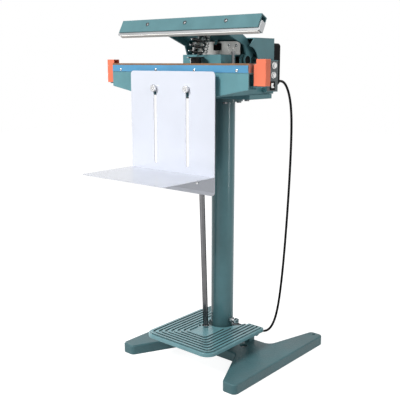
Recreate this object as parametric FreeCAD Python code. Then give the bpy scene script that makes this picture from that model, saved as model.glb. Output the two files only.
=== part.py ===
import FreeCAD, Part
import math
import os

# Floor-standing impulse heat sealer with a foot pedal. Millimetres and degrees.
# The origin is on the floor under the column. +X is the operator's right, +Y the back, +Z up.

# Base casting
FOOT_OUTER = 210.5          # outer side of a foot from the centre plane
FOOT_FRONT = -207.6
FOOT_REAR = 228.0
FOOT_TIP = 42.0             # width of a foot at its tips
BASE_HEIGHT = 28.0
BASE_WALL = 9.0
BASE_ROOF = 9.0
CROSSBAR_FRONT = -51.0
CROSSBAR_REAR = 66.0
ROOT_FRONT_X = 91.0         # where a foot's inner side meets the crossbar, front and rear
ROOT_REAR_X = 126.0
TIP_RADIUS = 13.0
ROOT_RADIUS = 24.0
BASE_EDGE_RADIUS = 4.0
FLOOR_BOLT_RADIUS = 4.5
FLOOR_BOLT_X = 187.0
FLOOR_BOLT_Y = 213.0
FLOOR_BOLT_BOSS = 12.0
CROSSBAR_HOLE_RADIUS = 12.0
CROSSBAR_HOLE_X = 74.0
CROSSBAR_HOLE_Y = 8.0
SOCKET_RADIUS = 43.0
SOCKET_HEIGHT = 14.0        # how far the column's socket rises above the base
SOCKET_FLOOR = 12.0

# Column
COLUMN_RADIUS = 32.5
COLUMN_WALL = 4.0
COLUMN_FIT = 0.1
FLANGE_RADIUS = 54.0
FLANGE_THICK = 10.0
FLANGE_BOLT_CIRCLE = 43.0
FLANGE_BOLT_RADIUS = 4.0
FLANGE_HEAD_RADIUS = 7.0
FLANGE_HEAD_HEIGHT = 5.0
LOCK_BOLT_HEIGHT = 101.0
LOCK_BOLT_RADIUS = 4.5
LOCK_BOLT_REACH = 24.0      # how far the bolt stands out of the column
LOCK_BOLT_DEPTH = 7.0       # how far it reaches inside the column's surface
HEX_RADIUS = 8.5
HEX_HEIGHT = 7.0

# Pedal, its axle and the pull rod
PEDAL_HALF_WIDTH = 120.5
PEDAL_FRONT = -205.0
PEDAL_REAR = 47.0
PEDAL_TOP = 83.0
PEDAL_PLATE = 6.0
PEDAL_SKIRT = 10.5
PEDAL_SKIRT_WALL = 6.0
PEDAL_CORNER = 30.0
PEDAL_EDGE_RADIUS = 2.0
RIB_PITCH = 12.5
RIB_WIDTH = 6.5
RIB_HEIGHT = 2.5
RIB_COUNT = 7
RIB_MARGIN = 7.0
RIB_CORNER = 12.0           # least corner radius of the inner ribs
FORK_RADIUS = 41.0          # opening round the column
FORK_REAR_HALF = 74.0
FORK_RING = 14.0            # smooth ring round that opening
ARM_HOLE_RADIUS = 4.0
ARM_HOLE_X = 103.0
ARM_HOLE_Y = 35.0
AXLE_Y = 50.0
AXLE_Z = 60.0
AXLE_RADIUS = 6.0
RUN_FIT = 0.05              # radial running clearance of a shaft
LUG_INNER_X = 77.0
LUG_WIDTH = 16.0
LUG_RADIUS = 11.0
BEARING_INNER_X = 56.0
BEARING_WIDTH = 18.0
BEARING_DEPTH = 24.0
BEARING_RADIUS = 11.0
AXLE_OVERHANG = 4.0
ROD_X = -22.0
ROD_FOOT_Y = -49.0
ROD_FOOT_Z = 80.0
ROD_TOP_Y = -84.0
ROD_TOP_Z = 864.0
ROD_RADIUS = 7.5
ROD_BALL_RADIUS = 9.0
FOOT_PIN_RADIUS = 3.0
FOOT_PIN_LENGTH = 36.0
HUB_RADIUS = 25.0
HUB_BORE = 10.8
KIDNEY_RADIUS = 17.0
KIDNEY_WIDTH = 6.0
KIDNEY_SPAN = 44.0
ROD_EYE_THICK = 8.0
ROD_EYE_RADIUS = 11.0
TOP_PIN_RADIUS = 5.0
OPEN_PIVOT_PLAY = 1.0       # radial play of the rod's top eye on its pin
PIN_HOLE_REACH = 20.0       # half the length of the drill for the rod's two eyes
YOKE_GAP = 1.5
YOKE_WALL = 5.0
YOKE_RADIUS = 10.0
YOKE_HALF_DEPTH = 9.0

# Jaw pivot. The jaw's pieces are drawn closed and turned open about this axis.
PIVOT_Y = -30.0
PIVOT_Z = 846.0
JAW_OPEN = 28.0
SHAFT_RADIUS = 8.0
BUSH_RADIUS = 11.0
BUSH_FLANGE_RADIUS = 14.5
BUSH_FLANGE = 2.0
PRESS_FIT = 0.02
EAR_THICK = 7.0
EAR_RADIUS = 15.0
EAR_GAP = 3.0               # from an ear to the bush's flange
ARM_SIDE_GAP = 19.0         # from the tray's wall to the arm
ARM_THICK = 5.0
ARM_EYE_RADIUS = 15.0
SHAFT_END = 1.0             # how far the shaft stands out of the arm

# Head frame
BODY_HALF_WIDTH = 126.0
BODY_WALL = 3.0
BODY_BOTTOM = 757.0
BODY_REAR = 58.0
BODY_SHOULDER_Y = -8.0      # where the side walls step up
BODY_TOP_FRONT = 834.0
BODY_TOP_REAR = 847.0
HEAD_PLATE_LIP = 6.0        # how far the plate stands out beside the tray
HEAD_PLATE_FRONT = -58.0
HEAD_PLATE_REAR = 42.0
HEAD_PLATE_THICK = 12.0
HEAD_BOLT_INSET = 26.0
HEAD_BOLT_Y = -34.0
HEAD_BOLT_RADIUS = 4.0
ROD_WINDOW_HALF_X = 17.0
ROD_WINDOW_HALF_Y = 24.0
DECK_REAR = -56.0
HEAD_SCREW_RADIUS = 3.7      # round-head screws all over the head
HEAD_SCREW_PROUD = 2.1

# Sealing beam
BEAM_HALF_LENGTH = 233.0
BEAM_FRONT = -198.4
BEAM_DEPTH = 34.4
BEAM_WALL = 3.0
BEAM_TOP = 816.0
BEAM_END_BOTTOM = 777.0
BAR_HEIGHT = 21.2
BAR_FRONT_INSET = 0.8
BAR_REAR_INSET = 2.0
SEAL_Y = -177.5
RIBBON_THICK = 0.3
RIBBON_WIDTH = 6.0
CLOTH_THICK = 0.5
CLOTH_FLAP = 16.0
STRIP_THICK = 1.5
STRIP_BOTTOM = 816.3
STRIP_TOP = 833.5
STRIP_END_INSET = 1.0
STRIP_SCREW_Z = 821.5
STRIP_SCREW_X = [-199.0, -66.5, 66.5, 199.0]
CAP_GAP = 4.5               # between the beam's end and an end cap
CAP_LENGTH = 34.0
CAP_REAR = -164.0
CAP_DEPTH = 20.0
CAP_BOTTOM = 786.0
CAP_TOP = 848.0
CAP_WALL = 2.5
CAP_NOTCH_LENGTH = 6.5
CAP_NOTCH_BOTTOM = 836.0
CAP_EDGE_RADIUS = 2.0
TERMINAL_THICK = 3.0
TERMINAL_INNER_X = 205.0
TERMINAL_OVERLAP = 25.0
ELECTRODE_LENGTH = 15.0
ELECTRODE_DEPTH = 7.4
ELECTRODE_INSET = 6.5

# Upper jaw, drawn closed
CLOSED_GAP = 0.35
SILICONE_THICK = 2.5
SILICONE_WIDTH = 11.0
SILICONE_HALF_LENGTH = 234.0
PRESS_BAR_DEPTH = 16.0
PRESS_BAR_HEIGHT = 25.0
PRESS_BAR_HALF_LENGTH = 240.0
PRESS_BAR_SHOW = 6.0        # how far the bar stands out under the channel
CHANNEL_HALF_LENGTH = 236.0
CHANNEL_WALL = 3.0
CHANNEL_HEIGHT = 35.5
JAW_SCREW_X = [-134.0, 0.0, 134.0]
JAW_SCREW_RADIUS = 5.2
JAW_SCREW_HEAD = 2.5
JAW_SCREW_SHANK = 2.5
JAW_SCREW_DOWN = 15.0       # below the channel's top
ARM_TOP_Z = 893.0
ARM_TOP_THICK = 5.0
ARM_TOP_REAR = -62.0
ARM_FRONT_BOTTOM = 857.0
ARM_KNEE_Y = -133.0
ARM_KNEE_Z = 862.5
ARM_NECK_Y = -62.0
ARM_NECK_Z = 872.5
ARM_SHOULDER_Y = -50.0      # where the arm's top edge drops under the roof
ARM_SHOULDER_Z = 888.0
ARM_HEEL_Y = -2.0           # rear end of the arm
ARM_HEEL_LOW = 872.0
ARM_HEEL_TOP = 882.0
ARM_NOTCH_Y = -14.0         # inner corner behind the pivot eye
STRIKER_X = 7.0
STRIKER_WIDTH = 8.0
STRIKER_THICK = 2.0
STRIKER_DROP = 14.0

# Springs
MAIN_SPRING_X = 16.0
MAIN_SPRING_BASE_Y = -136.0
MAIN_SPRING_TOP_Y = -110.0
MAIN_SPRING_MEAN = 18.5     # mean radius of the turns
MAIN_SPRING_WIRE = 2.5      # radius of the wire
MAIN_SPRING_TURNS = 5
SEAT_RADIUS = 14.0
SEAT_HEIGHT = 17.0
WASHER_RADIUS = 22.0
WASHER_THICK = 3.0
MAIN_SPRING_FOOT = 6.15       # from the washer to the first turn's centre
MAIN_SPRING_HEAD = 3.2       # from the arm to the last turn's centre
SIDE_SPRING_X = 9.0
SIDE_SPRING_Y = -93.8
SIDE_SPRING_TOP_Y = -78.0
SIDE_SPRING_MEAN = 7.0
SIDE_SPRING_WIRE = 1.25
SIDE_SPRING_TURNS = 8
SIDE_SPRING_FOOT = 2.15
SIDE_SPRING_HEAD = 1.8

# Pieces on the deck
WIRING_COVER_X0 = -1.0
WIRING_COVER_INSET = 3.0    # right end, inside the switch plate's end
WIRING_LIP_X0 = -50.0       # left end of the cover's front lip
WIRING_COVER_FRONT = -112.0
WIRING_COVER_TOP = 860.0
WIRING_COVER_WALL = 2.0
SHAFT_COVER_FRONT = -58.0
STOP_BOLT_Y = -85.0
STOP_BOLT_RADIUS = 4.0
STOP_BOLT_HEAD = 6.5
STOP_BOLT_HEAD_HEIGHT = 5.0
STOP_GAP = 0.4
STOP_SLOPE = 10.0           # steepest slope of the arm's lower edge over the bolt

# Rear housing, cover and switch plate
HOUSING_FRONT = -30.0
HOUSING_TOP = 903.0
HOUSING_WALL = 2.5
BEAK_Y = -52.0              # front tip of the right side wall over its arch
LEFT_WALL_FRONT = -12.0     # front edge of the left side wall
ARCH_RADIUS = 37.0
ARCH_FOOT_CUT = 1.0         # depth of the cut below the arch's foot
ARCH_CENTRE_Z = 844.0
COVER_SIDE_INSET = 6.0
COVER_DEPTH = 38.0
COVER_BOTTOM = 779.0
COVER_TOP = 891.0
COVER_WALL = 2.5
COVER_CORNER = 9.0
COVER_SCREW_INSET = 14.0
PLATE_SIDE_GAP = 4.0        # from the plate's end to the ear
PLATE_FRONT = -36.0
PLATE_THICK = 1.5
PLATE_TOP = 895.0
PLATE_SCREW_Z = 884.0
PLATE_SCREW_INSET = 13.0
PLATE_SCREW_MIDDLE = 46.0
SWITCH_WIDTH = 20.0
SWITCH_HEIGHT = 18.0
SWITCH_DEPTH = 6.0
SWITCH_BOTTOM = 872.0
PLUNGER_RADIUS = 1.6
PLUNGER_Z = 886.5
PLUNGER_REACH = 1.3         # how far the pressed plunger stands out
PLUNGER_DEPTH = 4.5

# Controls on the right side
BOX_DEPTH = 14.0
BOX_FRONT = 5.0
BOX_REAR = 58.0
BOX_BOTTOM = 763.0
BOX_TOP = 846.0
BOX_WALL = 2.0
PANEL_THICK = 1.0
PANEL_INSET = 2.0
KNOB_RADIUS = 8.5
KNOB_HEIGHT = 7.0
KNOB_CROWN_RADIUS = 6.8
KNOB_SKIRT = 2.6
KNOB_RIDGE_HALF = 1.2
KNOB_RIDGE_REACH = 8.0
KNOB_RIDGE_PROUD = 1.0
KNOB_GAP = 0.4
KNOB_SHAFT_RADIUS = 3.0
KNOB_Y = [34.0, 31.0]
KNOB_Z = [832.0, 807.0]
BOARD_THICK = 1.6
BOARD_INSET = 3.0
POT_RADIUS = 6.5
POT_DEPTH = 6.0
ROCKER_Y = 31.0
ROCKER_Z = 779.0
ROCKER_WIDTH = 14.0
ROCKER_HEIGHT = 17.0
ROCKER_FRAME = 3.0
ROCKER_FRAME_PROUD = 2.0
ROCKER_PLAY = 0.8
ROCKER_TILT = 9.0
ROCKER_DEPTH = 5.7
ROCKER_RISE = 2.0           # how far the rocker's ends stand above its middle
ROCKER_REACH = 6.6          # from the pivot to an end
ROCKER_PIN_RADIUS = 1.4
ROCKER_PIN_HALF = 8.3

# Transformer inside the tray
CORE_X = -45.0
CORE_WIDTH = 84.0
CORE_DEPTH = 28.0
CORE_HEIGHT = 68.0
CORE_Y = 26.0
CORE_LEG = 14.0
WINDING_SIDE = 9.0
WINDING_FIT = 0.3

# Work table
TABLE_HALF_WIDTH = 145.0
TABLE_GAP = 14.2            # from the beam's front to the table's back
TABLE_SHEET = 1.5
TABLE_BELOW_SHELF = 47.6
TABLE_TOP = 819.0
TABLE_CORNER = 10.0
SLOT_X = 56.0
SLOT_WIDTH = 10.0
SLOT_END_RADIUS = 4.9
SLOT_BOTTOM = 580.0
SLOT_TOP = 783.0
STUD_Z = 775.0
STUD_RADIUS = 4.0
STUD_REACH = 9.0
SPACER_RADIUS = 8.0
SPACER_GAP = 0.2
SHELF_TOP = 562.6
SHELF_DEPTH = 178.5
SHELF_FLANGE = 38.0
SHELF_CORNER = 8.0
SHELF_SCREW_X = 90.0
SHELF_SCREW_RADIUS = 4.0
SHELF_SCREW_HEAD = 2.2
THUMB_RADIUS = 9.0
THUMB_HEIGHT = 7.0
THUMB_COLLAR_RADIUS = 7.0
THUMB_COLLAR = 2.0
THUMB_NOTCHES = 12
THUMB_NOTCH_RADIUS = 1.3

# Mains cord
CORD_RADIUS = 3.5
CORD_X = 104.0
CORD_EXIT_Z = 789.0
RELIEF_FLANGE_RADIUS = 8.5
RELIEF_FLANGE = 4.0
RELIEF_LENGTH = 16.0
RELIEF_ROOT = 7.0
RELIEF_TIP = 5.0
COIL_X = -85.0
COIL_Y = 126.0
COIL_OUTER = 46.0           # radius of the outermost turn's centre line
COIL_STEP = 8.0             # how much the radius changes in one turn
COIL_TURNS = 3.5
COIL_Z = 4.8
COIL_RISE = 7.8             # from the first layer to the second
COIL_LEAD = 7.0
TIE_THICK = 0.9
TIE_WIDTH = 8.0
TIE_FIT = 0.4
PLUG_LENGTH = 34.0
PLUG_TAPER = 10.2
PLUG_FLAT = 10.2            # height of the flat on the plug's top
PLUG_RADIUS = 12.0
PLUG_SLEEVE = 18.0
PLUG_SLEEVE_RADIUS = 4.3
PIN_RADIUS = 2.0
PIN_LENGTH = 18.0
PIN_SPACING = 16.0

V = FreeCAD.Vector
X_AXIS = V(1, 0, 0)
Y_AXIS = V(0, 1, 0)
Z_AXIS = V(0, 0, 1)

# Values that follow from the sizes above
PEDAL_UNDER = PEDAL_TOP - PEDAL_PLATE
COLUMN_TOP = BODY_BOTTOM - HEAD_PLATE_THICK - FLANGE_THICK
BEAM_REAR = BEAM_FRONT + BEAM_DEPTH
BAR_TOP = BEAM_TOP + BAR_HEIGHT
CLOTH_TOP = BAR_TOP + RIBBON_THICK + CLOTH_THICK
PRESS_BAR_BOTTOM = CLOTH_TOP + CLOSED_GAP + SILICONE_THICK
CHANNEL_BOTTOM = PRESS_BAR_BOTTOM + PRESS_BAR_SHOW
CHANNEL_TOP = CHANNEL_BOTTOM + CHANNEL_HEIGHT
CHANNEL_FRONT = SEAL_Y - PRESS_BAR_DEPTH / 2 - CHANNEL_WALL
CHANNEL_REAR = SEAL_Y + PRESS_BAR_DEPTH / 2 + CHANNEL_WALL
DECK_THICK = BODY_WALL
BODY_INNER_X = BODY_HALF_WIDTH - BODY_WALL
ARM_OUTER_X = BODY_INNER_X - ARM_SIDE_GAP
ARM_INNER_X = ARM_OUTER_X - ARM_THICK
EAR_INNER_X = ARM_INNER_X - BUSH_FLANGE - EAR_GAP - EAR_THICK
PLATE_HALF_WIDTH = EAR_INNER_X - PLATE_SIDE_GAP
PLATE_SCREW_END = PLATE_HALF_WIDTH - PLATE_SCREW_INSET
WIRING_COVER_X1 = PLATE_HALF_WIDTH - WIRING_COVER_INSET
HEAD_PLATE_HALF = BODY_HALF_WIDTH + HEAD_PLATE_LIP
HEAD_BOLT_X = HEAD_PLATE_HALF - HEAD_BOLT_INSET
COVER_HALF_WIDTH = BODY_HALF_WIDTH - COVER_SIDE_INSET
TABLE_BOTTOM = SHELF_TOP - TABLE_BELOW_SHELF
ROCKER_PIVOT_X = BODY_HALF_WIDTH + BOX_DEPTH + PANEL_THICK - ROCKER_DEPTH / 2
COVER_REAR = BODY_REAR + COVER_DEPTH
BOX_FACE = BODY_HALF_WIDTH + BOX_DEPTH
PANEL_FACE = BOX_FACE + PANEL_THICK
TABLE_BACK = BEAM_FRONT - TABLE_GAP
TABLE_FACE = TABLE_BACK - TABLE_SHEET
CAP_FRONT = CAP_REAR - CAP_DEPTH
RELIEF_END = COVER_REAR + RELIEF_FLANGE + RELIEF_LENGTH

# Where the coil's first lead begins: the turns close in, so the lead leans a little
COIL_SLOPE = math.atan(COIL_STEP / (2 * math.pi * COIL_OUTER))
LEAD_X = COIL_X + COIL_LEAD * math.cos(COIL_SLOPE)
LEAD_Y = COIL_Y + COIL_OUTER + COIL_LEAD * math.sin(COIL_SLOPE)
LAST_RUN = 44.0

# Route of the free cord: out of the strain relief, down, and along the floor to the coil
CORD_ROUTE = [
    (CORD_X, RELIEF_END, CORD_EXIT_Z),
    (104.0, 130.0, 789.0),
    (104.0, 143.9, 783.4),
    (104.0, 156.0, 772.3),
    (104.1, 166.5, 756.0),
    (104.3, 175.0, 735.0),
    (104.6, 181.0, 708.0),
    (104.8, 185.0, 672.0),
    (104.2, 187.0, 610.0),
    (102.6, 186.6, 525.0),
    (100.2, 185.4, 440.0),
    (96.8, 183.6, 350.0),
    (92.6, 181.4, 260.0),
    (87.0, 178.8, 175.0),
    (79.0, 176.7, 100.0),
    (66.0, 175.0, 45.0),
    (44.0, 174.2, 12.0),
    (12.0, 173.9, 3.9),
    (LEAD_X + LAST_RUN * math.cos(COIL_SLOPE), LEAD_Y + LAST_RUN * math.sin(COIL_SLOPE), COIL_Z),
    (LEAD_X, LEAD_Y, COIL_Z),
]

nodes = {}


def box(x0, x1, y0, y1, z0, z1):
    """A box between two corners."""
    return Part.makeBox(x1 - x0, y1 - y0, z1 - z0, V(x0, y0, z0))


def rod(radius, start, end):
    """A round bar between two points."""
    start = V(*start)
    along = V(*end) - start
    return Part.makeCylinder(radius, along.Length, start, along)


def hexagon(radius, height, base, axis):
    """A hexagon prism on a base point, as a bolt head or nut."""
    corners = []
    for i in range(7):
        angle = i * math.pi / 3
        corners.append(V(radius * math.cos(angle), radius * math.sin(angle), 0))
    prism = Part.Face(Part.makePolygon(corners)).extrude(V(0, 0, height))
    prism.Placement = FreeCAD.Placement(V(*base), FreeCAD.Rotation(Z_AXIS, axis))
    return prism


def rounded_face(corners, place):
    """A flat face from (a, b, radius) corners in order; place turns (a, b) into a point."""
    edges = []
    ends = []
    count = len(corners)
    for i in range(count):
        before = V(*corners[i - 1][:2])
        here = V(*corners[i][:2])
        after = V(*corners[(i + 1) % count][:2])
        radius = corners[i][2]
        if radius == 0:
            ends.append((here, None, here))
            continue
        to_before = (before - here).normalize()
        to_after = (after - here).normalize()
        half = to_before.getAngle(to_after) / 2
        middle = (to_before + to_after).normalize()
        start = here + to_before * (radius / math.tan(half))
        finish = here + to_after * (radius / math.tan(half))
        apex = here + middle * (radius / math.sin(half) - radius)
        ends.append((start, apex, finish))
    for i in range(count):
        start, apex, finish = ends[i]
        if apex is not None:
            edges.append(Part.Arc(place(start), place(apex), place(finish)).toShape())
        following = ends[(i + 1) % count][0]
        if (following - finish).Length > 1e-6:
            edges.append(Part.LineSegment(place(finish), place(following)).toShape())
    return Part.Face(Part.Wire(edges))


def plan(corners, z0, z1):
    """A prism with an X-Y outline."""
    return rounded_face(corners, lambda p: V(p.x, p.y, z0)).extrude(V(0, 0, z1 - z0))


def side(corners, x0, x1):
    """A prism with a Y-Z outline."""
    return rounded_face(corners, lambda p: V(x0, p.x, p.y)).extrude(V(x1 - x0, 0, 0))


def front(corners, y0, y1):
    """A prism with an X-Z outline."""
    return rounded_face(corners, lambda p: V(p.x, y0, p.y)).extrude(V(0, y1 - y0, 0))


def mirrored(shape):
    """The same shape on the other side of the centre plane."""
    return shape.mirror(V(0, 0, 0), X_AXIS)


def fused(shapes):
    """One solid from overlapping or touching shapes."""
    return shapes[0].fuse(shapes[1:]).removeSplitter()


def group(shapes):
    """Separate solids in one node."""
    return Part.makeCompound(shapes)


def opened(shape):
    """A jaw piece turned from its closed place to its open one."""
    turned = shape.copy()
    turned.rotate(V(0, PIVOT_Y, PIVOT_Z), X_AXIS, -JAW_OPEN)
    return turned


def turn_about_pivot(y, z, degrees):
    """A point of the jaw, turned about the pivot."""
    angle = math.radians(degrees)
    dy = y - PIVOT_Y
    dz = z - PIVOT_Z
    turned_y = dy * math.cos(angle) - dz * math.sin(angle)
    turned_z = dy * math.sin(angle) + dz * math.cos(angle)
    return PIVOT_Y + turned_y, PIVOT_Z + turned_z


def edges_at_height(shape, z):
    """The edges that lie wholly at one height."""
    found = []
    for edge in shape.Edges:
        bounds = edge.BoundBox
        if abs(bounds.ZMin - z) < 1e-4 and abs(bounds.ZMax - z) < 1e-4:
            found.append(edge)
    return found


def biarc(p0, t0, p1, t1):
    """Two tangent arcs from p0 along t0 to p1 along t1, as edges."""
    chord = p1 - p0
    tangents = t0 + t1
    lack = 4 - tangents.dot(tangents)
    along = chord.dot(tangents)
    if lack < 1e-9:
        reach = chord.dot(chord) / (2 * along)
    else:
        reach = (math.sqrt(along * along + lack * chord.dot(chord)) - along) / lack
    joint = (p0 + t0 * reach + p1 - t1 * reach) * 0.5
    return [arc_from(p0, t0, joint), arc_to(joint, p1, t1)]


def arc_from(start, tangent, end):
    """An arc that leaves start along a tangent and stops at end."""
    chord = end - start
    across = tangent * chord.dot(tangent) - chord
    if across.Length < 1e-7:
        return Part.LineSegment(start, end).toShape()
    inward = (chord - tangent * chord.dot(tangent)).normalize()
    radius = chord.dot(chord) / (2 * chord.dot(inward))
    centre = start + inward * radius
    middle = (start + end) * 0.5 - centre
    return Part.Arc(start, centre + middle.normalize() * radius, end).toShape()


def arc_to(start, end, tangent):
    """An arc that reaches end along a tangent."""
    back = arc_from(end, tangent * -1, start)
    if back.Curve.TypeId == "Part::GeomLine":
        return Part.LineSegment(start, end).toShape()
    middle = back.valueAt((back.FirstParameter + back.LastParameter) / 2)
    return Part.Arc(start, middle, end).toShape()


def curve_edges(curve, start, stop, steps):
    """Biarcs along a curve that is a function of one parameter."""
    tiny = 1e-4
    edges = []
    for i in range(steps):
        u0 = start + (stop - start) * i / steps
        u1 = start + (stop - start) * (i + 1) / steps
        t0 = (curve(u0 + tiny) - curve(u0 - tiny)).normalize()
        t1 = (curve(u1 + tiny) - curve(u1 - tiny)).normalize()
        edges += biarc(curve(u0), t0, curve(u1), t1)
    return edges


def swept(edges, radius):
    """A round tube along edges that join end to end."""
    path = Part.Wire(edges)
    first = edges[0]
    start = first.valueAt(first.FirstParameter)
    along = first.tangentAt(first.FirstParameter)
    ring = Part.Wire(Part.makeCircle(radius, start, along))
    return path.makePipeShell([ring], True, False)


def self_gap(curve, start, stop, radius, skip):
    """Least gap between a tube's turns, measured on points along it."""
    count = 400
    points = [curve(start + (stop - start) * i / count) for i in range(count + 1)]
    lead = int(skip * count / (stop - start))
    gaps = []
    for i in range(count + 1):
        gaps += [(points[i] - other).Length for other in points[i + lead:]]
    return min(gaps) - 2 * radius


def base_casting():
    """H-shaped casting, hollow below, with the column's socket."""
    tip_inner = FOOT_OUTER - FOOT_TIP
    half = [
        (FOOT_OUTER, FOOT_FRONT, TIP_RADIUS),
        (FOOT_OUTER, FOOT_REAR, TIP_RADIUS),
        (tip_inner, FOOT_REAR, TIP_RADIUS),
        (ROOT_REAR_X, CROSSBAR_REAR, ROOT_RADIUS),
    ]
    front_half = [(ROOT_FRONT_X, CROSSBAR_FRONT, ROOT_RADIUS), (tip_inner, FOOT_FRONT, TIP_RADIUS)]
    mirror_rear = [(-x, y, r) for x, y, r in reversed(half)]
    mirror_front = [(-x, y, r) for x, y, r in reversed(front_half)]
    outline = rounded_face(half + mirror_rear + mirror_front + front_half, lambda p: V(p.x, p.y, 0))
    body = outline.extrude(V(0, 0, BASE_HEIGHT))
    body = body.makeFillet(BASE_EDGE_RADIUS, edges_at_height(body, BASE_HEIGHT))
    hollow = outline.makeOffset2D(-BASE_WALL).extrude(V(0, 0, BASE_HEIGHT - BASE_ROOF))
    socket_top = BASE_HEIGHT + SOCKET_HEIGHT
    pads = [rod(SOCKET_RADIUS, (0, 0, 0), (0, 0, socket_top))]
    holes = [rod(COLUMN_RADIUS + COLUMN_FIT, (0, 0, SOCKET_FLOOR), (0, 0, socket_top))]
    for sign in (-1, 1):
        bolt_x = sign * FLOOR_BOLT_X
        bolt_low = (bolt_x, FLOOR_BOLT_Y, 0)
        pads.append(rod(FLOOR_BOLT_BOSS, bolt_low, (bolt_x, FLOOR_BOLT_Y, BASE_HEIGHT / 2)))
        holes.append(rod(FLOOR_BOLT_RADIUS, bolt_low, (bolt_x, FLOOR_BOLT_Y, BASE_HEIGHT)))
        hole_x = sign * CROSSBAR_HOLE_X
        hole_low = (hole_x, CROSSBAR_HOLE_Y, 0)
        holes.append(rod(CROSSBAR_HOLE_RADIUS, hole_low, (hole_x, CROSSBAR_HOLE_Y, BASE_HEIGHT)))
    return body.cut(hollow).fuse(pads).cut(holes).removeSplitter()


def column_pieces():
    """Tube, top flange, its bolts and the lock bolt at the foot."""
    tube = rod(COLUMN_RADIUS, (0, 0, SOCKET_FLOOR), (0, 0, COLUMN_TOP))
    tube = tube.cut(rod(COLUMN_RADIUS - COLUMN_WALL, (0, 0, SOCKET_FLOOR), (0, 0, COLUMN_TOP)))
    bolt_inner = COLUMN_RADIUS - LOCK_BOLT_DEPTH
    bolt_outer = COLUMN_RADIUS + LOCK_BOLT_REACH
    lock_shank = rod(LOCK_BOLT_RADIUS, (bolt_inner, 0, LOCK_BOLT_HEIGHT), (bolt_outer, 0, LOCK_BOLT_HEIGHT))
    head = hexagon(HEX_RADIUS, HEX_HEIGHT, (bolt_outer - HEX_HEIGHT, 0, LOCK_BOLT_HEIGHT), X_AXIS)
    nut = hexagon(HEX_RADIUS, HEX_HEIGHT, (COLUMN_RADIUS, 0, LOCK_BOLT_HEIGHT), X_AXIS)
    nodes["column_lock_bolt"] = fused([lock_shank, head, nut])
    flange = rod(FLANGE_RADIUS, (0, 0, COLUMN_TOP), (0, 0, COLUMN_TOP + FLANGE_THICK))
    bolts = []
    for i in range(4):
        angle = math.pi / 4 + i * math.pi / 2
        x = FLANGE_BOLT_CIRCLE * math.cos(angle)
        y = FLANGE_BOLT_CIRCLE * math.sin(angle)
        shank = rod(FLANGE_BOLT_RADIUS, (x, y, COLUMN_TOP), (x, y, BODY_BOTTOM))
        head_base = (x, y, COLUMN_TOP - FLANGE_HEAD_HEIGHT)
        head = hexagon(FLANGE_HEAD_RADIUS, FLANGE_HEAD_HEIGHT, head_base, Z_AXIS)
        bolts.append(fused([shank, head]))
    nodes["column_tube"] = fused([tube, flange]).cut(bolts + [lock_shank])
    return bolts


def head_plate(flange_bolts):
    """Thick plate between the column and the head's tray, with its own bolts."""
    plate = box(-HEAD_PLATE_HALF, HEAD_PLATE_HALF, HEAD_PLATE_FRONT, HEAD_PLATE_REAR,
                BODY_BOTTOM - HEAD_PLATE_THICK, BODY_BOTTOM)
    bolts = []
    for sign in (-1, 1):
        x = sign * HEAD_BOLT_X
        under = BODY_BOTTOM - HEAD_PLATE_THICK
        shank = rod(HEAD_BOLT_RADIUS, (x, HEAD_BOLT_Y, under), (x, HEAD_BOLT_Y, BODY_BOTTOM + BODY_WALL))
        head = hexagon(FLANGE_HEAD_RADIUS, FLANGE_HEAD_HEIGHT,
                       (x, HEAD_BOLT_Y, under - FLANGE_HEAD_HEIGHT), Z_AXIS)
        bolts.append(fused([shank, head]))
    nodes["head_plate"] = plate.cut(flange_bolts + bolts)
    nodes["head_bolts"] = group(flange_bolts + bolts)
    return bolts


def inside_pedal(inset, rear, z0, z1):
    """A block in the pedal's outline, drawn in by an inset at the front and sides."""
    reach = PEDAL_HALF_WIDTH - inset
    face_y = PEDAL_FRONT + inset
    corner = max(PEDAL_CORNER - inset, RIB_CORNER)
    front_corners = [(-reach, face_y, corner), (reach, face_y, corner)]
    return plan(front_corners + [(reach, rear, 0), (-reach, rear, 0)], z0, z1)


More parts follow.
